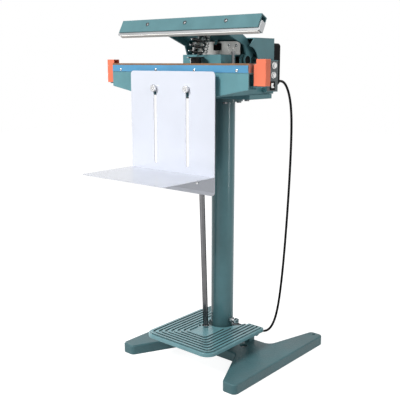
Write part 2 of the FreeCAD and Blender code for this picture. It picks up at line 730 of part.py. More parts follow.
def pedal_plate():
    """Ribbed pedal with a fork round the column, hinge lugs and the rod's hub."""
    outline = [
        (-PEDAL_HALF_WIDTH, PEDAL_FRONT, PEDAL_CORNER),
        (PEDAL_HALF_WIDTH, PEDAL_FRONT, PEDAL_CORNER),
        (PEDAL_HALF_WIDTH, PEDAL_REAR, PEDAL_EDGE_RADIUS * 4),
        (-PEDAL_HALF_WIDTH, PEDAL_REAR, PEDAL_EDGE_RADIUS * 4),
    ]
    low = PEDAL_TOP - PEDAL_SKIRT
    block = plan(outline, low, PEDAL_TOP)
    block = block.makeFillet(PEDAL_EDGE_RADIUS, edges_at_height(block, PEDAL_TOP))
    inset = PEDAL_SKIRT_WALL
    hollow = inside_pedal(inset, PEDAL_REAR - inset, low, PEDAL_UNDER)
    fork_corners = [
        (-FORK_RADIUS, 0, 0),
        (FORK_RADIUS, 0, 0),
        (FORK_REAR_HALF, PEDAL_REAR, 0),
        (-FORK_REAR_HALF, PEDAL_REAR, 0),
    ]
    top = PEDAL_TOP + RIB_HEIGHT
    fork = fused([rod(FORK_RADIUS, (0, 0, low), (0, 0, top)), plan(fork_corners, low, top)])
    ring_radius = FORK_RADIUS + FORK_RING
    smooth = rod(ring_radius, (0, 0, PEDAL_TOP), (0, 0, top))
    hub_top = rod(HUB_RADIUS, (ROD_X, ROD_FOOT_Y, PEDAL_TOP), (ROD_X, ROD_FOOT_Y, top))
    pieces = [block.cut(hollow)]
    for i in range(RIB_COUNT):
        outer = RIB_MARGIN + i * RIB_PITCH
        rib = inside_pedal(outer, PEDAL_REAR - RIB_MARGIN, PEDAL_TOP, top)
        inside = inside_pedal(outer + RIB_WIDTH, PEDAL_REAR, PEDAL_TOP, top)
        pieces.append(rib.cut([inside, smooth, hub_top]))
    pieces.append(rod(HUB_RADIUS, (ROD_X, ROD_FOOT_Y, low), (ROD_X, ROD_FOOT_Y, PEDAL_TOP)))
    holes = [fork, rod(HUB_BORE, (ROD_X, ROD_FOOT_Y, low), (ROD_X, ROD_FOOT_Y, top))]
    for sign in (-1, 1):
        x0 = LUG_INNER_X if sign > 0 else -LUG_INNER_X - LUG_WIDTH
        lug = side([
            (AXLE_Y - 3 * LUG_RADIUS, PEDAL_UNDER, 0),
            (AXLE_Y - 3 * LUG_RADIUS, AXLE_Z, 0),
            (AXLE_Y, AXLE_Z - LUG_RADIUS, 0),
            (AXLE_Y + LUG_RADIUS, AXLE_Z, 0),
            (PEDAL_REAR, PEDAL_UNDER, 0),
        ], x0, x0 + LUG_WIDTH)
        pieces.append(lug)
        pieces.append(rod(LUG_RADIUS, (x0, AXLE_Y, AXLE_Z), (x0 + LUG_WIDTH, AXLE_Y, AXLE_Z)))
        holes.append(rod(AXLE_RADIUS + RUN_FIT, (x0, AXLE_Y, AXLE_Z), (x0 + LUG_WIDTH, AXLE_Y, AXLE_Z)))
        hole_x = sign * ARM_HOLE_X
        holes.append(rod(ARM_HOLE_RADIUS, (hole_x, ARM_HOLE_Y, low), (hole_x, ARM_HOLE_Y, top)))
    for i in range(4):
        holes.append(kidney(45 + 90 * i))
    pin_half = FOOT_PIN_LENGTH / 2
    pin_left = (ROD_X - pin_half, ROD_FOOT_Y, ROD_FOOT_Z)
    pin = rod(FOOT_PIN_RADIUS, pin_left, (ROD_X + pin_half, ROD_FOOT_Y, ROD_FOOT_Z))
    nodes["rod_foot_pin"] = pin
    return fused(pieces).cut(holes).cut(pin).removeSplitter()


def kidney(middle_degrees):
    """One curved opening of the pedal's hub, all through the plate."""
    low = PEDAL_TOP - PEDAL_SKIRT
    top = PEDAL_TOP + RIB_HEIGHT
    centre = V(ROD_X, ROD_FOOT_Y, low)
    outer = Part.makeCylinder(KIDNEY_RADIUS + KIDNEY_WIDTH / 2, top - low, centre, Z_AXIS, KIDNEY_SPAN)
    inner = Part.makeCylinder(KIDNEY_RADIUS - KIDNEY_WIDTH / 2, top - low, centre, Z_AXIS, 360)
    opening = outer.cut(inner)
    opening.rotate(centre, Z_AXIS, middle_degrees - KIDNEY_SPAN / 2)
    return opening


def pedal_bearings():
    """Two bearing blocks on the crossbar and the axle that they hold."""
    blocks = []
    for sign in (-1, 1):
        x0 = BEARING_INNER_X if sign > 0 else -BEARING_INNER_X - BEARING_WIDTH
        foot = box(x0, x0 + BEARING_WIDTH, AXLE_Y - BEARING_DEPTH / 2, AXLE_Y + BEARING_DEPTH / 2,
                   BASE_HEIGHT, AXLE_Z)
        crown = rod(BEARING_RADIUS, (x0, AXLE_Y, AXLE_Z), (x0 + BEARING_WIDTH, AXLE_Y, AXLE_Z))
        bore = rod(AXLE_RADIUS + PRESS_FIT, (x0, AXLE_Y, AXLE_Z), (x0 + BEARING_WIDTH, AXLE_Y, AXLE_Z))
        blocks.append(fused([foot, crown]).cut(bore))
    nodes["pedal_bearing_blocks"] = group(blocks)
    reach = LUG_INNER_X + LUG_WIDTH + AXLE_OVERHANG
    nodes["pedal_axle"] = rod(AXLE_RADIUS, (-reach, AXLE_Y, AXLE_Z), (reach, AXLE_Y, AXLE_Z))


def pull_rod():
    """Bright rod with a ball eye at the pedal and a flat eye at the arm."""
    foot = (ROD_X, ROD_FOOT_Y, ROD_FOOT_Z)
    top = (ROD_X, ROD_TOP_Y, ROD_TOP_Z)
    half = ROD_EYE_THICK / 2
    eye = rod(ROD_EYE_RADIUS, (ROD_X - half, ROD_TOP_Y, ROD_TOP_Z), (ROD_X + half, ROD_TOP_Y, ROD_TOP_Z))
    along = (V(*top) - V(*foot)).normalize()
    shoulder = V(*top) - along * (2 * ROD_EYE_RADIUS)
    neck = box(ROD_X - half, ROD_X + half, ROD_TOP_Y - ROD_RADIUS, ROD_TOP_Y + ROD_RADIUS,
               ROD_TOP_Z - 2 * ROD_EYE_RADIUS - half, ROD_TOP_Z)
    shank = rod(ROD_RADIUS, foot, shoulder)
    ball = Part.makeSphere(ROD_BALL_RADIUS, V(*foot))
    shape = fused([shank, ball, neck, eye])
    reach = PIN_HOLE_REACH
    pin_bore = FOOT_PIN_RADIUS + RUN_FIT
    pin_hole = rod(pin_bore, (ROD_X - reach, ROD_FOOT_Y, ROD_FOOT_Z),
                   (ROD_X + reach, ROD_FOOT_Y, ROD_FOOT_Z))
    eye_bore = TOP_PIN_RADIUS + OPEN_PIVOT_PLAY
    eye_hole = rod(eye_bore, (ROD_X - reach, ROD_TOP_Y, ROD_TOP_Z),
                   (ROD_X + reach, ROD_TOP_Y, ROD_TOP_Z))
    return shape.cut([pin_hole, eye_hole])


def rod_yoke():
    """Two cheeks under the arm and the pin that carries the rod's top eye, drawn closed."""
    pin_y, pin_z = turn_about_pivot(ROD_TOP_Y, ROD_TOP_Z, JAW_OPEN)
    under = ARM_TOP_Z - ARM_TOP_THICK
    inner = ROD_EYE_THICK / 2 + YOKE_GAP
    cheeks = []
    for x0 in (ROD_X - inner - YOKE_WALL, ROD_X + inner):
        plate = box(x0, x0 + YOKE_WALL, pin_y - YOKE_HALF_DEPTH, pin_y + YOKE_HALF_DEPTH, pin_z, under)
        round_end = rod(YOKE_RADIUS, (x0, pin_y, pin_z), (x0 + YOKE_WALL, pin_y, pin_z))
        cheeks.append(fused([plate, round_end]))
    reach = inner + YOKE_WALL
    pin = rod(TOP_PIN_RADIUS, (ROD_X - reach, pin_y, pin_z), (ROD_X + reach, pin_y, pin_z))
    nodes["rod_yoke"] = opened(fused(cheeks + [pin]))


def rod_window(z0, z1):
    """Opening that the pull rod and its yoke move through."""
    return box(ROD_X - ROD_WINDOW_HALF_X, ROD_X + ROD_WINDOW_HALF_X,
               ROD_TOP_Y - ROD_WINDOW_HALF_Y, ROD_TOP_Y + ROD_WINDOW_HALF_Y, z0, z1)


def body_tray(head_bolts, flange_bolts):
    """Sheet tray of the head: floor, side walls and rear wall."""
    floor_top = BODY_BOTTOM + BODY_WALL
    floor = box(-BODY_HALF_WIDTH, BODY_HALF_WIDTH, BEAM_FRONT + BEAM_WALL, BODY_REAR,
                BODY_BOTTOM, floor_top)
    wall = side([
        (BEAM_REAR, BODY_BOTTOM, 0),
        (BODY_REAR, BODY_BOTTOM, 0),
        (BODY_REAR, BODY_TOP_REAR, 0),
        (BODY_SHOULDER_Y, BODY_TOP_REAR, 0),
        (BODY_SHOULDER_Y, BODY_TOP_FRONT, 0),
        (BEAM_REAR, BODY_TOP_FRONT, 0),
    ], BODY_INNER_X, BODY_HALF_WIDTH)
    rear = box(-BODY_HALF_WIDTH, BODY_HALF_WIDTH, BODY_REAR - BODY_WALL, BODY_REAR,
               BODY_BOTTOM, BODY_TOP_REAR)
    tray = fused([floor, wall, mirrored(wall), rear])
    return tray.cut(head_bolts + flange_bolts + [rod_window(BODY_BOTTOM, floor_top)])


def deck_plate():
    """Lid of the tray in front of the pivot."""
    deck = box(-BODY_INNER_X, BODY_INNER_X, BEAM_REAR, DECK_REAR,
               BODY_TOP_FRONT - DECK_THICK, BODY_TOP_FRONT)
    return deck.cut(rod_window(BODY_TOP_FRONT - DECK_THICK, BODY_TOP_FRONT))


def front_beam():
    """Folded beam under the sealing bar, its front edge tapered to the ends."""
    face = front([
        (-BEAM_HALF_LENGTH, BEAM_END_BOTTOM, 0),
        (-BODY_HALF_WIDTH, BODY_BOTTOM, 0),
        (BODY_HALF_WIDTH, BODY_BOTTOM, 0),
        (BEAM_HALF_LENGTH, BEAM_END_BOTTOM, 0),
        (BEAM_HALF_LENGTH, BEAM_TOP, 0),
        (-BEAM_HALF_LENGTH, BEAM_TOP, 0),
    ], BEAM_FRONT, BEAM_FRONT + BEAM_WALL)
    end = BEAM_HALF_LENGTH
    top = box(-end, end, BEAM_FRONT, BEAM_REAR, BEAM_TOP - BEAM_WALL, BEAM_TOP)
    back = box(-end, end, BEAM_REAR - BEAM_WALL, BEAM_REAR, BEAM_END_BOTTOM, BEAM_TOP)
    return fused([face, top, back])


def sealing_bar():
    """Sealing bar with its heating ribbon, cover cloth, clamp strip and the strip's screws."""
    end = BEAM_HALF_LENGTH
    bar_front = BEAM_FRONT + BAR_FRONT_INSET
    bar_rear = BEAM_REAR - BAR_REAR_INSET
    nodes["lower_sealing_bar"] = box(-end, end, bar_front, bar_rear, BEAM_TOP, BAR_TOP)
    ribbon_top = BAR_TOP + RIBBON_THICK
    ribbon_end = end + CAP_GAP + ELECTRODE_INSET + ELECTRODE_LENGTH
    ribbon_half = RIBBON_WIDTH / 2
    nodes["heating_ribbon"] = box(-ribbon_end, ribbon_end, SEAL_Y - ribbon_half, SEAL_Y + ribbon_half,
                                  BAR_TOP, ribbon_top)
    flap = BAR_TOP - CLOTH_FLAP
    cloth = box(-end, end, bar_front - CLOTH_THICK, bar_rear + CLOTH_THICK, flap, CLOTH_TOP)
    nodes["cover_cloth"] = cloth.cut(box(-end, end, bar_front, bar_rear, flap, ribbon_top))
    strip_end = end - STRIP_END_INSET
    strip_rear = bar_front - CLOTH_THICK
    strip = box(-strip_end, strip_end, strip_rear - STRIP_THICK, strip_rear, STRIP_BOTTOM, STRIP_TOP)
    face = strip_rear - STRIP_THICK
    nodes["blue_clamp_strip"] = strip
    tip = face - HEAD_SCREW_PROUD
    z = STRIP_SCREW_Z
    return [rod(HEAD_SCREW_RADIUS, (x, tip, z), (x, face, z)) for x in STRIP_SCREW_X]


def end_cap():
    """Right end cap: a shell open below and towards the bar, notched for the press bar."""
    inner = BEAM_HALF_LENGTH + CAP_GAP
    outer = inner + CAP_LENGTH
    shell = box(inner, outer, CAP_FRONT, CAP_REAR, CAP_BOTTOM, CAP_TOP)
    outer_edges = [e for e in shell.Edges if e.BoundBox.XMin > outer - 1e-4]
    shell = shell.makeFillet(CAP_EDGE_RADIUS, outer_edges)
    hollow = box(inner, outer - CAP_WALL, CAP_FRONT + CAP_WALL, CAP_REAR - CAP_WALL,
                 CAP_BOTTOM, CAP_TOP - CAP_WALL)
    notch = box(inner, inner + CAP_NOTCH_LENGTH, CAP_FRONT, CAP_REAR, CAP_NOTCH_BOTTOM, CAP_TOP)
    return shell.cut([hollow, notch])


def end_terminals():
    """Front beam with its welded end brackets, and the electrode blocks on them."""
    inner = BEAM_HALF_LENGTH + CAP_GAP
    bracket = box(TERMINAL_INNER_X, inner + TERMINAL_OVERLAP, CAP_FRONT + CAP_WALL, BEAM_REAR - BEAM_WALL,
                  CAP_BOTTOM - TERMINAL_THICK, CAP_BOTTOM)
    nodes["front_beam"] = fused([front_beam(), bracket, mirrored(bracket)])
    x0 = inner + ELECTRODE_INSET
    block = box(x0, x0 + ELECTRODE_LENGTH, SEAL_Y - ELECTRODE_DEPTH / 2, SEAL_Y + ELECTRODE_DEPTH / 2,
                CAP_BOTTOM, BAR_TOP)
    nodes["electrode_blocks"] = group([block, mirrored(block)])


def jaw_channel():
    """Upper jaw's channel, press bar, silicone strip and face screws."""
    end = CHANNEL_HALF_LENGTH
    outer = box(-end, end, CHANNEL_FRONT, CHANNEL_REAR, CHANNEL_BOTTOM, CHANNEL_TOP)
    inside = box(-end, end, CHANNEL_FRONT + CHANNEL_WALL, CHANNEL_REAR - CHANNEL_WALL,
                 CHANNEL_BOTTOM, CHANNEL_TOP - CHANNEL_WALL)
    screw_z = CHANNEL_TOP - JAW_SCREW_DOWN
    screws = []
    shanks = []
    for x in JAW_SCREW_X:
        face = (x, CHANNEL_FRONT, screw_z)
        head = rod(JAW_SCREW_RADIUS, (x, CHANNEL_FRONT - JAW_SCREW_HEAD, screw_z), face)
        shank = rod(JAW_SCREW_SHANK, face, (x, CHANNEL_FRONT + CHANNEL_WALL, screw_z))
        screws.append(opened(fused([head, shank])))
        shanks.append(shank)
    nodes["jaw_channel"] = opened(outer.cut([inside] + shanks))
    nodes["jaw_screws"] = group(screws)
    bar = box(-PRESS_BAR_HALF_LENGTH, PRESS_BAR_HALF_LENGTH, SEAL_Y - PRESS_BAR_DEPTH / 2,
              SEAL_Y + PRESS_BAR_DEPTH / 2, PRESS_BAR_BOTTOM, PRESS_BAR_BOTTOM + PRESS_BAR_HEIGHT)
    nodes["press_bar"] = opened(bar)
    strip = box(-SILICONE_HALF_LENGTH, SILICONE_HALF_LENGTH, SEAL_Y - SILICONE_WIDTH / 2,
                SEAL_Y + SILICONE_WIDTH / 2, PRESS_BAR_BOTTOM - SILICONE_THICK, PRESS_BAR_BOTTOM)
    nodes["silicone_strip"] = opened(strip)


def jaw_arm():
    """Two arm sides with pivot eyes, the plate across them and the switch striker."""
    flank = side([
        (CHANNEL_REAR, ARM_FRONT_BOTTOM, 0),
        (ARM_KNEE_Y, ARM_KNEE_Z, 0),
        (ARM_NECK_Y, ARM_NECK_Z, 0),
        (PIVOT_Y - 0.8 * ARM_EYE_RADIUS, PIVOT_Z + 0.6 * ARM_EYE_RADIUS, 0),
        (PIVOT_Y, PIVOT_Z, 0),
        (PIVOT_Y + 0.7 * ARM_EYE_RADIUS, PIVOT_Z + 0.7 * ARM_EYE_RADIUS, 0),
        (ARM_NOTCH_Y, ARM_HEEL_LOW, 0),
        (ARM_HEEL_Y, ARM_HEEL_LOW, 0),
        (ARM_HEEL_Y, ARM_HEEL_TOP, 0),
        (ARM_SHOULDER_Y, ARM_SHOULDER_Z, 0),
        (ARM_TOP_REAR, ARM_TOP_Z, 0),
        (CHANNEL_REAR, ARM_TOP_Z, 0),
    ], ARM_INNER_X, ARM_OUTER_X)
    eye = rod(ARM_EYE_RADIUS, (ARM_INNER_X, PIVOT_Y, PIVOT_Z), (ARM_OUTER_X, PIVOT_Y, PIVOT_Z))
    bore = rod(BUSH_RADIUS + PRESS_FIT, (ARM_INNER_X, PIVOT_Y, PIVOT_Z), (ARM_OUTER_X, PIVOT_Y, PIVOT_Z))
    flank = fused([flank, eye]).cut(bore)
    nodes["arm_sides"] = group([opened(flank), opened(mirrored(flank))])
    under = ARM_TOP_Z - ARM_TOP_THICK
    plate = box(-ARM_INNER_X, ARM_INNER_X, CHANNEL_REAR, ARM_TOP_REAR, under, ARM_TOP_Z)
    half = STRIKER_WIDTH / 2
    striker = box(STRIKER_X - half, STRIKER_X + half, ARM_TOP_REAR - STRIKER_THICK, ARM_TOP_REAR,
                  under - STRIKER_DROP, under)
    nodes["arm_top_plate"] = opened(fused([plate, striker]))


def jaw_pivot():
    """Fixed ears, the shaft through them and the bushes of the arm's eyes."""
    floor_top = BODY_BOTTOM + BODY_WALL
    outer = EAR_INNER_X + EAR_THICK
    ear = fused([
        box(EAR_INNER_X, outer, PIVOT_Y - EAR_RADIUS, PIVOT_Y + EAR_RADIUS, floor_top, PIVOT_Z),
        rod(EAR_RADIUS, (EAR_INNER_X, PIVOT_Y, PIVOT_Z), (outer, PIVOT_Y, PIVOT_Z)),
    ])
    ear = ear.cut(rod(SHAFT_RADIUS + PRESS_FIT, (EAR_INNER_X, PIVOT_Y, PIVOT_Z), (outer, PIVOT_Y, PIVOT_Z)))
    nodes["pivot_ears"] = group([ear, mirrored(ear)])
    reach = ARM_OUTER_X + SHAFT_END
    nodes["pivot_shaft"] = rod(SHAFT_RADIUS, (-reach, PIVOT_Y, PIVOT_Z), (reach, PIVOT_Y, PIVOT_Z))
    flange_x = ARM_INNER_X - BUSH_FLANGE
    bush = fused([
        rod(BUSH_RADIUS, (ARM_INNER_X, PIVOT_Y, PIVOT_Z), (ARM_OUTER_X, PIVOT_Y, PIVOT_Z)),
        rod(BUSH_FLANGE_RADIUS, (flange_x, PIVOT_Y, PIVOT_Z), (ARM_INNER_X, PIVOT_Y, PIVOT_Z)),
    ])
    bore = rod(SHAFT_RADIUS + RUN_FIT, (flange_x, PIVOT_Y, PIVOT_Z), (ARM_OUTER_X, PIVOT_Y, PIVOT_Z))
    bush = bush.cut(bore)
    nodes["pivot_bushes"] = group([bush, mirrored(bush)])


def arm_underside(y):
    """Height of the open arm's underside at a place along Y."""
    under = ARM_TOP_Z - ARM_TOP_THICK
    near_y, near_z = turn_about_pivot(CHANNEL_REAR, under, -JAW_OPEN)
    return near_z - (y - near_y) * math.tan(math.radians(JAW_OPEN))


def spring(foot, head, mean, wire, turns, name):
    """A coil spring as one wire wound about a leaning axis, with its least gap printed."""
    foot = V(*foot)
    axis = V(*head) - foot
    across = axis.cross(X_AXIS).normalize()

    def curve(u):
        angle = 2 * math.pi * u
        spoke = X_AXIS * math.cos(angle) + across * math.sin(angle)
        return foot + axis * (u / turns) + spoke * mean

    print(name, "least gap between turns", round(self_gap(curve, 0, turns, wire, 0.5), 2))
    return swept(curve_edges(curve, 0, turns, 4 * turns), wire)


def springs():
    """Main return spring on its seat, and the second spring beside it."""
    seat_top = BODY_TOP_FRONT + SEAT_HEIGHT
    washer_top = seat_top + WASHER_THICK
    base = (MAIN_SPRING_X, MAIN_SPRING_BASE_Y, BODY_TOP_FRONT)
    post = rod(SEAT_RADIUS, base, (MAIN_SPRING_X, MAIN_SPRING_BASE_Y, seat_top))
    washer = rod(WASHER_RADIUS, (MAIN_SPRING_X, MAIN_SPRING_BASE_Y, seat_top),
                 (MAIN_SPRING_X, MAIN_SPRING_BASE_Y, washer_top))
    nodes["spring_seat"] = fused([post, washer])
    foot_z = washer_top + MAIN_SPRING_FOOT
    head_z = arm_underside(MAIN_SPRING_TOP_Y) - MAIN_SPRING_HEAD
    nodes["main_return_spring"] = spring((MAIN_SPRING_X, MAIN_SPRING_BASE_Y, foot_z),
                                         (MAIN_SPRING_X, MAIN_SPRING_TOP_Y, head_z),
                                         MAIN_SPRING_MEAN, MAIN_SPRING_WIRE, MAIN_SPRING_TURNS,
                                         "main spring")
    foot_z = WIRING_COVER_TOP + SIDE_SPRING_FOOT
    head_z = arm_underside(SIDE_SPRING_TOP_Y) - SIDE_SPRING_HEAD
    nodes["second_spring"] = spring((SIDE_SPRING_X, SIDE_SPRING_Y, foot_z),
                                    (SIDE_SPRING_X, SIDE_SPRING_TOP_Y, head_z),
                                    SIDE_SPRING_MEAN, SIDE_SPRING_WIRE, SIDE_SPRING_TURNS, "second spring")


def deck_pieces():
    """Wiring cover and the stop bolt of the right arm."""
    wall = WIRING_COVER_WALL
    under = WIRING_COVER_TOP - wall
    cover = box(WIRING_COVER_X0, WIRING_COVER_X1, WIRING_COVER_FRONT, SHAFT_COVER_FRONT,
                BODY_TOP_FRONT, WIRING_COVER_TOP)
    hollow = box(WIRING_COVER_X0 + wall, WIRING_COVER_X1 - wall, WIRING_COVER_FRONT + wall,
                 SHAFT_COVER_FRONT, BODY_TOP_FRONT, under)
    lip = box(WIRING_LIP_X0, WIRING_COVER_X0, WIRING_COVER_FRONT, WIRING_COVER_FRONT + wall,
              BODY_TOP_FRONT, WIRING_COVER_TOP)
    shaft_front = box(-PLATE_HALF_WIDTH, PLATE_HALF_WIDTH, SHAFT_COVER_FRONT, SHAFT_COVER_FRONT + wall,
                      BODY_TOP_FRONT, WIRING_COVER_TOP)
    shaft_top = box(-PLATE_HALF_WIDTH, PLATE_HALF_WIDTH, SHAFT_COVER_FRONT, PLATE_FRONT + PLATE_THICK,
                    under, WIRING_COVER_TOP)
    nodes["wiring_cover"] = fused([cover.cut(hollow), lip, shaft_front, shaft_top])
    share = (STOP_BOLT_Y - ARM_KNEE_Y) / (ARM_NECK_Y - ARM_KNEE_Y)
    edge_z = ARM_KNEE_Z + share * (ARM_NECK_Z - ARM_KNEE_Z)
    stop_top = edge_z - STOP_GAP - STOP_BOLT_HEAD * math.tan(math.radians(STOP_SLOPE))
    x = (ARM_INNER_X + ARM_OUTER_X) / 2 - STOP_BOLT_HEAD / 2
    shank = rod(STOP_BOLT_RADIUS, (x, STOP_BOLT_Y, BODY_TOP_FRONT), (x, STOP_BOLT_Y, stop_top))
    head_base = (x, STOP_BOLT_Y, stop_top - STOP_BOLT_HEAD_HEIGHT)
    head = hexagon(STOP_BOLT_HEAD, STOP_BOLT_HEAD_HEIGHT, head_base, Z_AXIS)
    nut = hexagon(STOP_BOLT_HEAD, STOP_BOLT_HEAD_HEIGHT, (x, STOP_BOLT_Y, BODY_TOP_FRONT), Z_AXIS)
    nodes["stop_bolt"] = fused([shank, head, nut])


def rear_housing():
    """Fixed hood behind the arm, with an arch in its right wall and a plain left wall."""
    arch_end = BEAK_Y + math.sqrt(ARCH_RADIUS ** 2 - (BODY_TOP_REAR - ARCH_CENTRE_Z) ** 2)
    wall = side([
        (BEAK_Y, BODY_TOP_REAR, 0),
        (BODY_REAR, BODY_TOP_REAR, 0),
        (BODY_REAR, HOUSING_TOP, 0),
        (HOUSING_FRONT, HOUSING_TOP, 0),
        (BEAK_Y, ARCH_CENTRE_Z + ARCH_RADIUS, 0),
    ], BODY_HALF_WIDTH - HOUSING_WALL, BODY_HALF_WIDTH)
    arch = rod(ARCH_RADIUS, (0, BEAK_Y, ARCH_CENTRE_Z), (BODY_HALF_WIDTH, BEAK_Y, ARCH_CENTRE_Z))
    end = BODY_HALF_WIDTH
    below_arch = box(0, end, BEAK_Y, max(arch_end, BODY_SHOULDER_Y),
                     BODY_TOP_REAR - ARCH_FOOT_CUT, BODY_TOP_REAR)
    wall = wall.cut([arch, below_arch])
    roof = box(-end, end, HOUSING_FRONT, BODY_REAR, HOUSING_TOP - HOUSING_WALL, HOUSING_TOP)
    rear = box(-end, end, BODY_REAR - HOUSING_WALL, BODY_REAR, BODY_TOP_REAR, HOUSING_TOP)
    ahead = box(-end, 0, BEAK_Y, LEFT_WALL_FRONT, BODY_TOP_REAR, HOUSING_TOP)
    return fused([wall, mirrored(wall).cut(ahead), roof, rear])


def rear_cover():
    """Black cover on the back, with its screws."""
    corners = [
        (-COVER_HALF_WIDTH, COVER_BOTTOM, COVER_CORNER),
        (COVER_HALF_WIDTH, COVER_BOTTOM, COVER_CORNER),
        (COVER_HALF_WIDTH, COVER_TOP, COVER_CORNER),
        (-COVER_HALF_WIDTH, COVER_TOP, COVER_CORNER),
    ]
    wall = COVER_WALL
    inner = [(x - wall * (1 if x > 0 else -1), z - wall * (1 if z > COVER_BOTTOM else -1), r - wall)
             for x, z, r in corners]
    shell = front(corners, BODY_REAR, COVER_REAR).cut(front(inner, BODY_REAR, COVER_REAR - wall))
    screws = []
    for x in (-COVER_HALF_WIDTH + COVER_SCREW_INSET, COVER_HALF_WIDTH - COVER_SCREW_INSET):
        for z in (COVER_BOTTOM + 2 * COVER_SCREW_INSET, COVER_TOP - COVER_SCREW_INSET):
            head_y = COVER_REAR + HEAD_SCREW_PROUD
            screws.append(rod(HEAD_SCREW_RADIUS, (x, COVER_REAR, z), (x, head_y, z)))
    nodes["rear_cover"] = shell
    return screws


def switch_plate():
    """Zinc plate under the arm with the micro switch and its plunger."""
    nodes["switch_plate"] = box(-PLATE_HALF_WIDTH, PLATE_HALF_WIDTH, PLATE_FRONT, PLATE_FRONT + PLATE_THICK,
                                WIRING_COVER_TOP, PLATE_TOP)
    screws = [rod(HEAD_SCREW_RADIUS, (x, PLATE_FRONT - HEAD_SCREW_PROUD, PLATE_SCREW_Z),
                  (x, PLATE_FRONT, PLATE_SCREW_Z))
              for x in (-PLATE_SCREW_END, PLATE_SCREW_MIDDLE, PLATE_SCREW_END)]
    face = PLATE_FRONT - SWITCH_DEPTH
    half = SWITCH_WIDTH / 2
    body = box(STRIKER_X - half, STRIKER_X + half, face, PLATE_FRONT,
               SWITCH_BOTTOM, SWITCH_BOTTOM + SWITCH_HEIGHT)
    bore = rod(PLUNGER_RADIUS + RUN_FIT, (STRIKER_X, face, PLUNGER_Z), (STRIKER_X, PLATE_FRONT, PLUNGER_Z))
    nodes["micro_switch_body"] = body.cut(bore)
    nodes["micro_switch_plunger"] = rod(PLUNGER_RADIUS, (STRIKER_X, face - PLUNGER_REACH, PLUNGER_Z),
                                        (STRIKER_X, face + PLUNGER_DEPTH, PLUNGER_Z))
    return screws


def controls():
    """Control box on the right side with its panel, knobs, rocker and timer board."""
    shell = box(BODY_HALF_WIDTH, BOX_FACE, BOX_FRONT, BOX_REAR, BOX_BOTTOM, BOX_TOP)
    hollow = box(BODY_HALF_WIDTH, BOX_FACE - BOX_WALL, BOX_FRONT + BOX_WALL, BOX_REAR - BOX_WALL,
                 BOX_BOTTOM + BOX_WALL, BOX_TOP - BOX_WALL)
    panel = box(BOX_FACE, PANEL_FACE, BOX_FRONT + PANEL_INSET, BOX_REAR - PANEL_INSET,
                BOX_BOTTOM + PANEL_INSET, BOX_TOP - PANEL_INSET)
    inside = BOX_FACE - BOX_WALL
    holes = []
    pots = []
    for y, z in zip(KNOB_Y, KNOB_Z):
        holes.append(rod(KNOB_SHAFT_RADIUS + KNOB_GAP, (BODY_HALF_WIDTH, y, z), (PANEL_FACE, y, z)))
        pot = rod(POT_RADIUS, (inside - POT_DEPTH, y, z), (inside, y, z))
        pots.append(pot.cut(rod(KNOB_SHAFT_RADIUS + RUN_FIT, (inside - POT_DEPTH, y, z), (inside, y, z))))
    board_x = inside - POT_DEPTH - BOARD_THICK
    board_edge = BOX_WALL + BOARD_INSET
    board = box(board_x, board_x + BOARD_THICK, BOX_FRONT + board_edge, BOX_REAR - board_edge,
                ROCKER_Z + ROCKER_HEIGHT / 2 + ROCKER_FRAME, BOX_TOP - board_edge)
    nodes["timer_board"] = fused([board] + pots)
    half_y = ROCKER_WIDTH / 2
    half_z = ROCKER_HEIGHT / 2
    frame_y = half_y + ROCKER_FRAME
    frame_z = half_z + ROCKER_FRAME
    frame = box(PANEL_FACE, PANEL_FACE + ROCKER_FRAME_PROUD, ROCKER_Y - frame_y, ROCKER_Y + frame_y,
                ROCKER_Z - frame_z, ROCKER_Z + frame_z)
    body_y = half_y + ROCKER_FRAME / 2
    body_z = half_z + ROCKER_FRAME / 2
    body = box(BODY_HALF_WIDTH, PANEL_FACE, ROCKER_Y - body_y, ROCKER_Y + body_y,
               ROCKER_Z - body_z, ROCKER_Z + body_z)
    mouth = box(BODY_HALF_WIDTH + BOX_WALL, PANEL_FACE + ROCKER_FRAME_PROUD,
                ROCKER_Y - half_y, ROCKER_Y + half_y, ROCKER_Z - half_z, ROCKER_Z + half_z)
    nodes["power_switch_body"] = fused([frame, body]).cut([mouth, rocker_pin(RUN_FIT)])
    nodes["control_box"] = shell.cut([hollow, body] + holes)
    nodes["control_panel"] = panel.cut([body] + holes)
    nodes["power_rocker"] = power_rocker()
    for name, y, z in zip(("seal_timer_knob", "cool_timer_knob"), KNOB_Y, KNOB_Z):
        nodes[name] = timer_knob(y, z, inside)


def timer_knob(y, z, inside):
    """A round knob with a pointer ridge and the shaft behind it."""
    start = PANEL_FACE + KNOB_GAP
    end = start + KNOB_HEIGHT
    skirt = rod(KNOB_RADIUS, (start, y, z), (start + KNOB_SKIRT, y, z))
    crown = rod(KNOB_CROWN_RADIUS, (start, y, z), (end, y, z))
    ridge = box(start, end + KNOB_RIDGE_PROUD, y - KNOB_RIDGE_HALF, y + KNOB_RIDGE_HALF,
                z, z + KNOB_RIDGE_REACH)
    shaft = rod(KNOB_SHAFT_RADIUS, (inside - POT_DEPTH, y, z), (start, y, z))
    return fused([skirt, crown, ridge, shaft])


def rocker_pin(clearance):
    """The rocker's hinge pin, or with a clearance the bore that it turns in."""
    half = ROCKER_PIN_HALF + clearance
    start = (ROCKER_PIVOT_X, ROCKER_Y - half, ROCKER_Z)
    return rod(ROCKER_PIN_RADIUS + clearance, start, (ROCKER_PIVOT_X, ROCKER_Y + half, ROCKER_Z))


